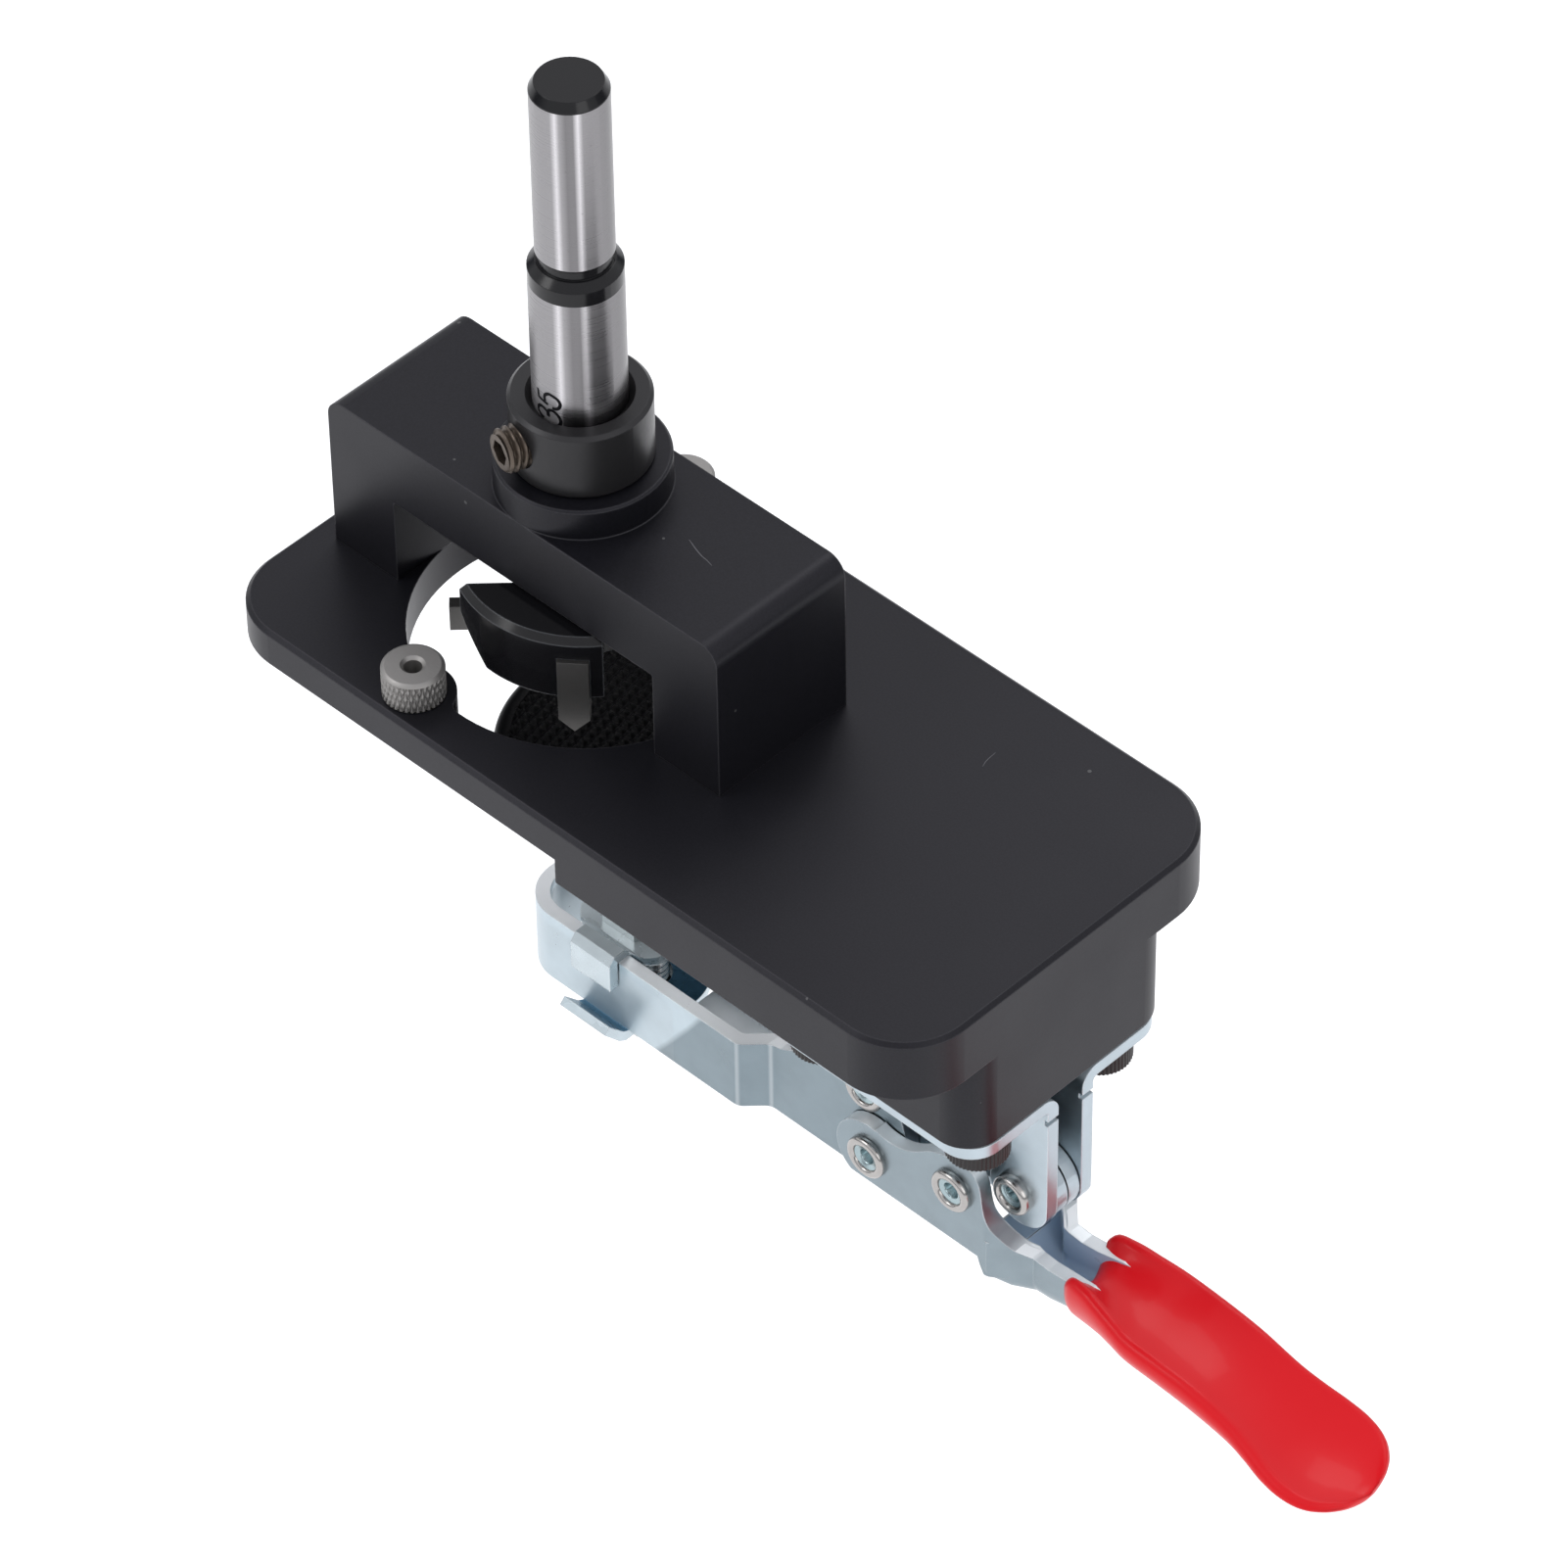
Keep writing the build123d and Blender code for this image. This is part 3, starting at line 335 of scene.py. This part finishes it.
M = {
    "plate": anodised("plate_black", 0.0060, 0.38),
    "bridge": anodised("bridge_black", 0.0060, 0.36, 0.55, 0.25),
    "collar": plain("collar_oxide", (0.032, 0.0315, 0.033), 0.70, 0.34, (1500, 0.25), 0.00015),
    "screw_black": plain("screw_oxide", (0.018, 0.015, 0.015), 0.4, 0.42, (1200, 0.2)),
    "set": plain("set_screw_brown", (0.115, 0.092, 0.074), 0.85, 0.36, (1500, 0.2), 0.0001),
    "bush": plain("bush_grey", (0.30, 0.29, 0.28), 0.85, 0.50, (2600, 0.6), 0.0001),
    "bit": bit_material("bit_steel_and_black"),
    "carbide": plain("carbide", (0.115, 0.112, 0.108), 0.9, 0.42, (3000, 0.5), 0.0001),
    # the arm's up-looking faces painted lighter and pale bend creases painted on: painted light
    "zinc": zinc("zinc_plate", up=(0.93, 0.96, 0.98), lines=(0.0338, 0.0372)),
    "washer": zinc("zinc_washer", (0.54, 0.61, 0.64), 0.26, 0.10, (0.54, 0.61, 0.64)),
    # its up-looking faces between the straps painted dark blue: painted shade
    "lip": zinc("zinc_lip", (0.52, 0.60, 0.64), 0.28, 0.10, (0.52, 0.60, 0.64), up=(0.10, 0.24, 0.36), y_max=0.0122),
    "base": zinc("zinc_base", (0.52, 0.60, 0.65), 0.34, 0.08, (0.49, 0.565, 0.61)),
    # up-looking faces painted lighter: painted light
    "handle": zinc("zinc_handle", (0.40, 0.47, 0.51), 0.32, 0.08, (0.27, 0.325, 0.355), channel=(0.38, 0.50, 0.64), up=(0.80, 0.84, 0.86)),
    "channel": zinc("zinc_channel"),
    "rivet": plain("rivet_bright", (0.42, 0.405, 0.39), 1.0, 0.22, (900, 0.2), 0.00012),
    "rivet_core": plain("rivet_core", (0.36, 0.45, 0.47), 1.0, 0.24, (900, 0.2), 0.0001),
    "spindle": plain("spindle_zinc", (0.58, 0.60, 0.60), 1.0, 0.24, (900, 0.15), 0.00012),
    "grip": plain("grip_vinyl", (0.66, 0.0065, 0.012), 0.0, 0.33, (260, 0.02), 0.0004, 0.08, 0.16),
    "rubber": plain("pad_rubber", (0.0045, 0.0045, 0.0052), 0.0, 0.36, (1500, 0.2), spec=0.16),
    "scratch": plain("scratch_pale", (0.10, 0.10, 0.11), 0.0, 0.5, spec=0.2),
    "mark": plain("mark_dark", (0.004, 0.004, 0.005), 0.0, 0.6, spec=0.1),
}

USE = {
    "jig_body": "plate", "guide_bridge": "bridge", "bridge_screws": "screw_black", "knurled_bush_front": "bush", "knurled_bush_rear": "bush",
    "stop_collar": "collar", "collar_set_screw": "set", "boring_bit": "bit", "nicker_tips": "carbide", "wing_tips": "carbide",
    "clamp_base_near": "base", "clamp_base_far": "base", "base_screws": "screw_black", "clamp_arm": "zinc", "arm_pivot_rivet": "rivet",
    "handle_pivot_rivets": "rivet", "link_pivot_rivets": "rivet", "base_pivot_rivet": "rivet", "link_near": "base", "link_far": "base",
    "handle": "handle", "handle_grip": "grip", "saddle_washer_upper": "washer", "saddle_washer_lower": "lip", "pad_spindle": "spindle",
    "spindle_nut_upper": "spindle", "spindle_nut_lower": "spindle", "rubber_pad": "rubber",
}
for name, ob in nodes.items():
    mat = M[USE[name]]
    if not ob.data.materials:
        ob.data.materials.append(mat)
    else:
        for i in range(len(ob.data.materials)):
            ob.data.materials[i] = mat


# ------------------------------------------------------------ detailed pieces
def mesh_obj(name, verts, faces, mat, body, node_name=None, smooth=True, angle=None):
    me_ = bpy.data.meshes.new(name)
    me_.from_pydata([tuple(map(float, v)) for v in verts], [], faces)
    me_.validate()
    me_.update()
    ob_ = bpy.data.objects.new(name, me_)
    bpy.context.scene.collection.objects.link(ob_)
    me_.materials.append(mat)
    for poly in me_.polygons:
        poly.use_smooth = smooth
    if angle is not None:
        me_.set_sharp_from_angle(angle=math.radians(angle))
    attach(ob_, body)
    if node_name:
        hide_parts(*([node_name] if isinstance(node_name, str) else node_name))
    return ob_


def grid_faces(nu, nv, close_u=True, flip=False, start=0):
    out = []
    for j in range(nv - 1):
        for i in range(nu if close_u else nu - 1):
            a = start + j * nu + i
            b_ = start + j * nu + (i + 1) % nu
            c_ = start + (j + 1) * nu + (i + 1) % nu
            d_ = start + (j + 1) * nu + i
            out.append((a, d_, c_, b_) if flip else (a, b_, c_, d_))
    return out


def lathe(profile, origin, axis, n=96, closed=False, radius_fn=None):
    """Turn a profile of (radius, distance along axis) about an axis; returns verts, faces."""
    ax_ = Vector(axis).normalized()
    e1 = ax_.orthogonal().normalized()
    e2 = ax_.cross(e1)
    verts, faces = [], []
    for r, h in profile:
        for i in range(n):
            t = 2 * math.pi * i / n
            rr = r if radius_fn is None else radius_fn(r, h, t)
            verts.append(Vector(origin) + ax_ * h + (e1 * math.cos(t) + e2 * math.sin(t)) * rr)
    faces = grid_faces(n, len(profile))
    if closed:
        for j in (0, len(profile) - 1):
            ring_ = [j * n + i for i in range(n)]
            faces.append(tuple(ring_[::-1] if j == 0 else ring_))
    return verts, faces


def join(parts):
    verts, faces = [], []
    for v, f in parts:
        k = len(verts)
        verts += list(v)
        faces += [tuple(i + k for i in q) for q in f]
    return verts, faces


def tri(x):
    x = x - math.floor(x)
    return 1 - abs(2 * x - 1)


def mm(*v):
    return tuple(c * MM for c in v)


# knurled drill bushes
def bush(name, x, y):
    n, rows = 288, 46
    r0, top = 4.1, 4.7
    verts = []
    z0, z1 = 0.15, 4.25
    for j in range(rows):
        z_ = z0 + (z1 - z0) * j / (rows - 1)
        for i in range(n):
            t = 2 * math.pi * i / n
            u = t / (2 * math.pi) * 34
            g = min(tri(u + z_ / 2.4), tri(u - z_ / 2.4))
            r = r0 - 0.30 * (1 - min(1.0, g * 1.9))
            verts.append(mm(x + r * math.cos(t), y + r * math.sin(t), z_))
    side = (verts, grid_faces(n, rows))
    cap = lathe([(r0 * MM, 4.25 * MM), (3.92 * MM, 4.5 * MM), (3.6 * MM, top * MM), (1.62 * MM, top * MM), (1.2 * MM, 4.3 * MM), (1.2 * MM, -6.0 * MM), (2.4 * MM, -6.0 * MM),
                 (2.49 * MM, -5.9 * MM), (2.49 * MM, 0.0), (3.9 * MM, 0.0), (r0 * MM, 0.15 * MM)], mm(x, y, 0), (0, 0, 1), n)
    v, f = join([side, cap])
    return mesh_obj(name + "_knurled", v, f, M["bush"], "jig", name, angle=32)


bush("knurled_bush_front", -6.8, -24.1)
bush("knurled_bush_rear", -6.8, 24.1)


# a screw thread by radius, with a flat crest
def threaded(origin, axis, r_out, depth, pitch, h0, h1, n=72, step=10):
    rows = int((h1 - h0) / pitch * step) + 1
    prof = [(r_out, h0 + (h1 - h0) * j / (rows - 1)) for j in range(rows)]

    def rf(r, h, t):
        k = tri(h / MM / pitch + t / (2 * math.pi))
        taper = min(1.0, max(0.0, (min(h / MM - h0, h1 - h / MM)) / (0.9 * depth)))
        return (r_out - depth * (1 - min(1.0, k * 1.35)) - (1 - taper) * depth * 0.9) * MM

    return lathe([(r * MM, h * MM) for r, h in prof], origin, axis, n, radius_fn=rf)


def hex_face(origin, axis, r_face, af, depth, h, n=72):
    """An end face at height h with a hexagon socket sunk into it."""
    ax_ = Vector(axis).normalized()
    e1 = ax_.orthogonal().normalized()
    e2 = ax_.cross(e1)
    verts, faces = [], []

    def hexr(t):
        a = (t + math.pi / 6) % (math.pi / 3) - math.pi / 6
        return af / 2 / math.cos(a)

    levels = [(r_face, h, False), (None, h, True), (None, h - depth, True), (0.02, h - depth - 0.3, False)]
    for r, hh, is_hex in levels:
        for i in range(n):
            t = 2 * math.pi * i / n
            rr = (hexr(t) if is_hex else r) * MM
            verts.append(Vector(origin) + ax_ * hh * MM + (e1 * math.cos(t) + e2 * math.sin(t)) * rr)
    return verts, grid_faces(n, len(levels))


sa = math.radians(-106)
s_axis = (math.cos(sa), math.sin(sa), 0)
s_org = mm(0, 0, 34)
parts = [threaded(s_org, s_axis, 2.97, 0.55, 1.0, 6.1, 11.5), hex_face(s_org, s_axis, 2.45, 3.0, 2.6, 11.5),
         lathe([(0.02 * MM, 6.1 * MM), (2.45 * MM, 6.1 * MM)], s_org, s_axis, 72)]
v, f = join(parts)
mesh_obj("set_screw_threaded", v, f, M["set"], "set_screw", "collar_set_screw", angle=30)

# jack spindle with its flange
sp_o = mm(8.6, 0, 0)
parts = [threaded(sp_o, (0, 0, 1), 2.98, 0.5, 1.0, -66.5, -22.4), lathe([(0.02 * MM, -66.5 * MM), (2.4 * MM, -66.5 * MM)], sp_o, (0, 0, 1), 72),
         lathe([(2.98 * MM, -22.5 * MM), (2.98 * MM, -22.0 * MM), (8.7 * MM, -22.0 * MM), (9.0 * MM, -21.7 * MM), (9.0 * MM, -20.0 * MM), (2.9 * MM, -20.0 * MM), (2.9 * MM, -17.6 * MM), (0.02 * MM, -17.5 * MM)], sp_o, (0, 0, 1), 72)]
v, f = join(parts)
mesh_obj("pad_spindle_threaded", v, f, M["spindle"], "spindle", "pad_spindle", angle=30)

# rubber pad with a pyramid grid
pad_cell = 1.45
N = 245
R_in = 16.9
verts, faces, index = [], [], {}
for j in range(N):
    for i in range(N):
        u = -R_in + 2 * R_in * i / (N - 1)
        w_ = -R_in + 2 * R_in * j / (N - 1)
        rr = math.hypot(u, w_)
        if rr > R_in:
            continue
        a1 = (u * 0.985 + w_ * 0.174) / pad_cell
        a2 = (-u * 0.174 + w_ * 0.985) / pad_cell
        d = max(abs(a1 - round(a1)), abs(a2 - round(a2))) * 2
        z_ = -14.75 - 0.62 * max(0.0, min(1.0, (d - 0.25) / 0.62))
        edge = min(1.0, (R_in - rr) / 0.5)
        z_ = -14.75 + (z_ + 14.75) * edge
        index[(i, j)] = len(verts)
        verts.append(mm(8.6 + u, w_, z_))
for j in range(N - 1):
    for i in range(N - 1):
        q = [(i, j), (i + 1, j), (i + 1, j + 1), (i, j + 1)]
        if all(k in index for k in q):
            faces.append(tuple(index[k] for k in q))
rim = lathe([(16.6 * MM, -14.78 * MM), (17.3 * MM, -14.7 * MM), (17.9 * MM, -14.8 * MM), (18.35 * MM, -15.05 * MM), (18.62 * MM, -15.45 * MM), (18.7 * MM, -15.9 * MM), (18.7 * MM, -19.6 * MM),
             (18.4 * MM, -20.0 * MM), (3.0 * MM, -20.0 * MM)], sp_o, (0, 0, 1), 192)
v, f = join([(verts, faces), rim])
mesh_obj("rubber_pad_grid", v, f, M["rubber"], "spindle", "rubber_pad", angle=40)


# tubular rivets: a rolled ring with a pale flat and a hole in it
def ring_head(x, z, y0, s, r_o, h):
    o = mm(x, 0, z)
    prof = [(r_o - 0.05, y0), (r_o, y0 + 0.15 * h), (r_o, y0 + 0.5 * h), (r_o - 0.12, y0 + 0.78 * h), (r_o - 0.38, y0 + 0.96 * h), (r_o - 0.65, y0 + h), (r_o - 0.92, y0 + 0.94 * h),
            (r_o - 1.12, y0 + 0.74 * h), (r_o - 1.18, y0 + 0.5 * h)]
    return lathe([(r * MM, d * MM) for r, d in prof], o, (0, -s, 0), 72)


def core(x, z, y0, s, r_o, h):
    o = mm(x, 0, z)
    prof = [(r_o - 1.16, y0 + 0.52 * h), (r_o - 1.22, y0 + 0.46 * h), (1.22, y0 + 0.40 * h), (1.08, y0 + 0.20 * h), (0.98, y0 - 0.8), (0.85, y0 - 1.0), (0.02, y0 - 1.15)]
    return lathe([(r * MM, d * MM) for r, d in prof], o, (0, -s, 0), 72)


def rivet(name, body, x, z, y_face, h, r_o=3.1, pin=(0.0, 1.0), through=True):
    rings, cores, pins = [], [], []
    for s in (1, -1):
        rings.append(ring_head(x, z, y_face, s, r_o, h))
        cores.append(core(x, z, y_face, s, r_o, h))
        pins.append(lathe([(2.18 * MM, pin[0] * MM), (2.18 * MM, pin[1] * MM)], mm(x, 0, z), (0, -s, 0), 48))
    v, f = join(rings + pins)
    mesh_obj(name + "_rings", v, f, M["rivet"], body, name, angle=50)
    v, f = join(cores)
    mesh_obj(name + "_cores", v, f, M["rivet_core"], body, None, angle=50)


rivet("arm_pivot_rivet", "jig", 53.9, -42.0, 6.2, 0.95, 3.1, (0.0, 6.2))
rivet("handle_pivot_rivets", "arm", 56.2, -51.0, 8.3, 0.95, 3.1, (4.25, 8.3))
rivet("link_pivot_rivets", "lever", 70.9, -46.3, 8.3, 1.05, 3.1, (5.95, 8.3))
rivet("base_pivot_rivet", "jig", 77.7, -45.1, 4.1, 1.45, 2.95, (0.0, 4.1))


# cap screws under the block, heads with straight knurls
def cap_head(x, y):
    top, low, r = -26.7, -31.7, 4.25
    prof = [(2.5, top + 0.0), (r - 0.3, top), (r - 0.12, top - 0.3)]
    a_ = lathe([(q * MM, z_ * MM) for q, z_ in prof], mm(x, y, 0), (0, 0, 1), 240)
    n, rows = 240, 14
    verts = []
    for j in range(rows):
        z_ = top - 0.3 - (4.3) * j / (rows - 1)
        for i in range(n):
            t = 2 * math.pi * i / n
            g = tri(t / (2 * math.pi) * 48)
            rr = r - 0.16 * (1 - g) - 0.02
            verts.append(mm(x + rr * math.cos(t), y + rr * math.sin(t), z_))
    side = (verts, grid_faces(n, rows))
    low_ = lathe([((r - 0.18) * MM, (low + 0.4) * MM), ((r - 0.55) * MM, low * MM)], mm(x, y, 0), (0, 0, 1), 240)
    sock = hex_face(mm(x, y, 0), (0, 0, -1), r - 0.55, 4.0, 2.5, -low)
    return join([a_, side, low_, sock])


v, f = join([cap_head(x, y) for x in (51.3, 77.7) for y in (-11.2, 11.2)])
mesh_obj("base_screws_knurled", v, f, M["screw_black"], "jig", "base_screws", angle=35)

# size mark rolled into the shank: a three and a five that read up the shank,
# each stroke as (distance round the shank toward the digits' tops, height)
GLYPH = {
    "5": [[(3.58, 42.48), (3.46, 41.94), (3.38, 41.31), (2.77, 41.16), (2.14, 41.05), (1.71, 40.96)],
          [(2.17, 41.30), (2.30, 41.82), (2.09, 42.39), (1.56, 42.74), (0.93, 42.67), (0.35, 42.42), (-0.02, 41.92), (-0.03, 41.41), (0.25, 40.93), (0.70, 40.70), (1.05, 40.77)]],
    "3": [[(1.76, 38.97), (1.69, 39.47), (2.08, 39.82), (2.62, 40.05), (3.18, 39.95), (3.55, 39.51), (3.54, 38.99), (3.10, 38.60), (2.49, 38.35)],
          [(1.76, 39.02), (1.79, 39.58), (1.61, 40.04), (1.17, 40.24), (0.67, 40.10), (0.20, 39.65), (-0.05, 39.04), (0.0, 38.51), (0.33, 38.10), (0.80, 38.00)]],
}


def stroke(pts):
    fine = []
    for k in range(len(pts) - 1):
        a0, a1 = np.array(pts[k]), np.array(pts[k + 1])
        m0 = (a1 - np.array(pts[max(0, k - 1)])) / 2
        m1 = (np.array(pts[min(len(pts) - 1, k + 2)]) - a0) / 2
        for q in range(6):
            s_ = q / 6
            fine.append((2 * s_**3 - 3 * s_**2 + 1) * a0 + (s_**3 - 2 * s_**2 + s_) * m0 + (-2 * s_**3 + 3 * s_**2) * a1 + (s_**3 - s_**2) * m1)
    fine.append(np.array(pts[-1]))
    verts = []
    for k, (b_, a_) in enumerate(fine):
        p0 = fine[max(0, k - 1)]
        p1 = fine[min(len(fine) - 1, k + 1)]
        db, da = p1[0] - p0[0], p1[1] - p0[1]
        L = math.hypot(da, db) or 1
        for sgn in (1, -1):
            bb = b_ - da / L * 0.23 * sgn
            zz = a_ + db / L * 0.23 * sgn
            th = math.radians(-69.0) - bb / 6.0
            verts.append(mm(6.014 * math.cos(th), 6.014 * math.sin(th), zz))
    faces = [(2 * k, 2 * k + 1, 2 * k + 3, 2 * k + 2) for k in range(len(fine) - 1)]
    return verts, faces


v, f = join([stroke(q) for q in GLYPH["3"] + GLYPH["5"]])
mesh_obj("size_mark_35", v, f, M["mark"], "bit", None, smooth=False)


# a few hairline scratches in the black finish
SCRATCH = [[(17.42, 0.96, 24.41), (18.02, 0.77, 24.41), (18.7, 0.51, 24.41), (19.65, 0.19, 24.41), (20.65, -0.08, 24.41), (21.58, -0.17, 24.41), (22.68, -0.44, 24.41)],
           [(54.06, 14.88, 0.01), (53.74, 15.77, 0.01), (53.62, 16.61, 0.01), (53.56, 17.74, 0.01)]]


def ribbon(pts, half):
    verts = []
    for k, p in enumerate(pts):
        p0, p1 = pts[max(0, k - 1)], pts[min(len(pts) - 1, k + 1)]
        dx_, dy_ = p1[0] - p0[0], p1[1] - p0[1]
        L = math.hypot(dx_, dy_) or 1
        w_ = half * (0.35 + 0.65 * math.sin(math.pi * (k + 0.5) / len(pts)))
        for sgn in (1, -1):
            verts.append(mm(p[0] - dy_ / L * w_ * sgn, p[1] + dx_ / L * w_ * sgn, p[2]))
    return verts, [(2 * k, 2 * k + 1, 2 * k + 3, 2 * k + 2) for k in range(len(pts) - 1)]


v, f = join([ribbon(SCRATCH[0], 0.07), ribbon(SCRATCH[1], 0.05)])
mesh_obj("hairline_scratches", v, f, M["scratch"], "jig", None, smooth=False)


# dipped vinyl grip, one smooth skin over the handle's channel
def catmull(xs, rows, n):
    xs = np.array(xs, float)
    rows = np.array(rows, float)
    out = []
    for x in n:
        k = int(np.clip(np.searchsorted(xs, x) - 1, 0, len(xs) - 2))
        t = (x - xs[k]) / (xs[k + 1] - xs[k])
        m0 = (rows[k + 1] - rows[max(k - 1, 0)]) / (xs[k + 1] - xs[max(k - 1, 0)]) * (xs[k + 1] - xs[k])
        k2 = min(k + 2, len(xs) - 1)
        m1 = (rows[k2] - rows[k]) / (xs[k2] - xs[k]) * (xs[k + 1] - xs[k])
        h00, h10, h01, h11 = 2 * t**3 - 3 * t**2 + 1, t**3 - 2 * t**2 + t, -2 * t**3 + 3 * t**2, t**3 - t**2
        out.append(h00 * rows[k] + h10 * m0 + h01 * rows[k + 1] + h11 * m1)
    return out


GRIP = [
    # x, half width, rim z, bottom z, middle z, roll radius
    (86.9, 5.0, -54.2, -61.7, -58.4, 0.85),
    (87.6, 5.5, -53.3, -61.9, -57.0, 1.0),
    (88.6, 5.75, -52.9, -61.9, -56.0, 1.1),
    (89.8, 5.95, -52.8, -61.7, -55.4, 1.15),
    (91.2, 6.2, -52.8, -61.4, -55.1, 1.2),
    (93.4, 6.6, -53.2, -60.9, -54.9, 1.2),
    (96.1, 7.1, -53.7, -60.7, -54.9, 1.2),
    (98.9, 7.5, -54.3, -60.8, -55.2, 1.2),
    (104.6, 7.5, -54.7, -61.1, -55.5, 1.2),
    (109.6, 7.4, -55.2, -61.7, -56.1, 1.2),
    (115.9, 7.4, -56.7, -62.5, -57.8, 1.2),
    (119.6, 7.9, -57.8, -62.9, -59.0, 1.2),
    (122.9, 8.5, -58.8, -63.3, -60.1, 1.15),
    (126.3, 8.65, -59.6, -63.4, -60.9, 1.1),
    (129.3, 7.9, -60.2, -63.4, -61.3, 1.0),
    (131.5, 6.2, -60.5, -63.2, -61.4, 0.9),
    (132.9, 4.1, -60.8, -62.9, -61.4, 0.7),
    (133.55, 2.0, -61.1, -62.5, -61.5, 0.4),
    (133.75, 0.15, -61.6, -62.0, -61.8, 0.1),
]
gx = [g[0] for g in GRIP]
st = sorted(set(list(np.linspace(86.9, 126.3, 84)) + list(np.linspace(126.3, 133.75, 42))))
rows = catmull(gx, [g[1:] for g in GRIP], st)
verts = []
count = None
for x, (w_, zr, zb, zf, rr) in zip(st, rows):
    h = zr - zb
    w_ = max(w_, 0.12)
    rr = min(rr, 0.45 * w_)
    half = [(0.0, zb), (0.18 * w_, zb + 0.004 * h), (0.36 * w_, zb + 0.025 * h), (0.54 * w_, zb + 0.08 * h), (0.70 * w_, zb + 0.17 * h), (0.83 * w_, zb + 0.29 * h),
            (0.92 * w_, zb + 0.43 * h), (0.975 * w_, zb + 0.58 * h), (w_, zb + 0.72 * h), (w_ - 0.03 * rr, zr - 0.85 * rr), (w_ - 0.15 * rr, zr - 0.50 * rr), (w_ - 0.36 * rr, zr - 0.20 * rr),
            (w_ - 0.66 * rr, zr - 0.03 * rr), (w_ - 1.0 * rr, zr), (w_ - 1.35 * rr, zr - 0.10 * rr)]
    y1, z1_ = w_ - 1.35 * rr, zr - 0.10 * rr
    for t in (0.92, 0.82, 0.70, 0.56, 0.42, 0.28, 0.14, 0.0):
        half.append((t * y1, zf + (z1_ - zf) * (t ** 2.2)))
    full = half + [(-a_, b_) for a_, b_ in half[-2:0:-1]]
    count = len(full)
    # the mouth is cut a little askew: its far lobe starts nearer the pivots
    skew = 0.2 * max(0.0, 1 - (x - 86.9) / 6.0)
    verts += [mm(x - skew * max(0.0, a_), a_, b_) for a_, b_ in full]
faces = grid_faces(count, len(st), flip=True)
faces.append(tuple(range(count)))
k = (len(st) - 1) * count
faces.append(tuple(k + i for i in range(count))[::-1])
grip = mesh_obj("handle_grip_dipped", verts, faces, M["grip"], "lever", "handle_grip")

# ------------------------------------------------------------ room
def area(name, loc, target, size, power, color=(1, 1, 1), size_y=None):
    li = bpy.data.lights.new(name, "AREA")
    li.energy = power
    li.color = color
    li.shape = "RECTANGLE"
    li.size = size
    li.size_y = size_y or size
    ob = bpy.data.objects.new(name, li)
    bpy.context.scene.collection.objects.link(ob)
    ob.location = loc
    d = Vector(target) - Vector(loc)
    ob.rotation_euler = d.to_track_quat("-Z", "Y").to_euler()
    return ob


floor_z = -0.16
me = bpy.data.meshes.new("floor")
S = 6.0
me.from_pydata([(-S, -S, floor_z), (S, -S, floor_z), (S, S, floor_z), (-S, S, floor_z)], [], [(0, 1, 2, 3)])
floor = bpy.data.objects.new("floor", me)
bpy.context.scene.collection.objects.link(floor)
fm, fnt, fb, fo = new_mat("floor_pale")
fb.inputs["Base Color"].default_value = (0.90, 0.90, 0.90, 1)
fb.inputs["Roughness"].default_value = 0.9
fb.inputs["Specular IOR Level"].default_value = 0.1
fb.inputs["Emission Color"].default_value = (1.0, 1.0, 1.0, 1)
fb.inputs["Emission Strength"].default_value = 0.28
me.materials.append(fm)

w = bpy.data.worlds.new("studio")
bpy.context.scene.world = w
w.use_nodes = True
wn = w.node_tree
bg = wn.nodes["Background"]
tc = wn.nodes.new("ShaderNodeTexCoord")
sp = wn.nodes.new("ShaderNodeSeparateXYZ")
wr = wn.nodes.new("ShaderNodeValToRGB")
wn.links.new(tc.outputs["Generated"], sp.inputs[0])
wn.links.new(sp.outputs["Z"], wr.inputs["Fac"])
wn.links.new(wr.outputs["Color"], bg.inputs["Color"])
e = wr.color_ramp.elements
for k_ in range(3):
    e.new(0.5)
for k_, (p_, c_) in enumerate([(0.0, (0.07, 0.08, 0.10)), (0.09, (0.12, 0.13, 0.15)), (0.22, (0.93, 0.95, 0.98)), (0.60, (0.95, 0.95, 0.98)), (0.95, (0.84, 0.85, 0.90))]):
    e[k_].position = p_
    e[k_].color = (*c_, 1)
bg.inputs["Strength"].default_value = 1.0

area("key", (-0.55, -0.75, 0.95), (0.03, 0, -0.02), 0.6, 4)
area("side", (1.1, -0.2, 0.45), (0.03, 0, -0.02), 0.6, 1.5)
area("back", (-0.12, 0.52, 0.62), (0.07, 0, 0.0), 0.30, 0.8)

# ------------------------------------------------------------ camera, solved from the photo
cam_d = bpy.data.cameras.new("camera")
cam_d.sensor_fit = "HORIZONTAL"
cam_d.sensor_width = 36.0
cam_d.lens = 36.0 * 9017.0 / 1601.0
cam_d.clip_start = 0.05
cam_d.clip_end = 50.0
cam = bpy.data.objects.new("camera", cam_d)
bpy.context.scene.collection.objects.link(cam)
az, el, ro = math.radians(44.569), math.radians(44.628), math.radians(-0.889)
back = Vector((math.sin(az) * math.cos(el), -math.cos(az) * math.cos(el), math.sin(el)))
right = (-back).cross(Vector((0, 0, 1))).normalized()
up = right.cross(-back)
r2 = right * math.cos(ro) + up * math.sin(ro)
u2 = -right * math.sin(ro) + up * math.cos(ro)
rot = Matrix((r2, u2, back)).transposed()
cam.matrix_world = Matrix.Translation((0.58370, -0.55791, 0.76716)) @ rot.to_4x4()
bpy.context.scene.camera = cam
bpy.context.scene.view_settings.view_transform = "Standard"
bpy.context.scene.view_settings.look = "None"
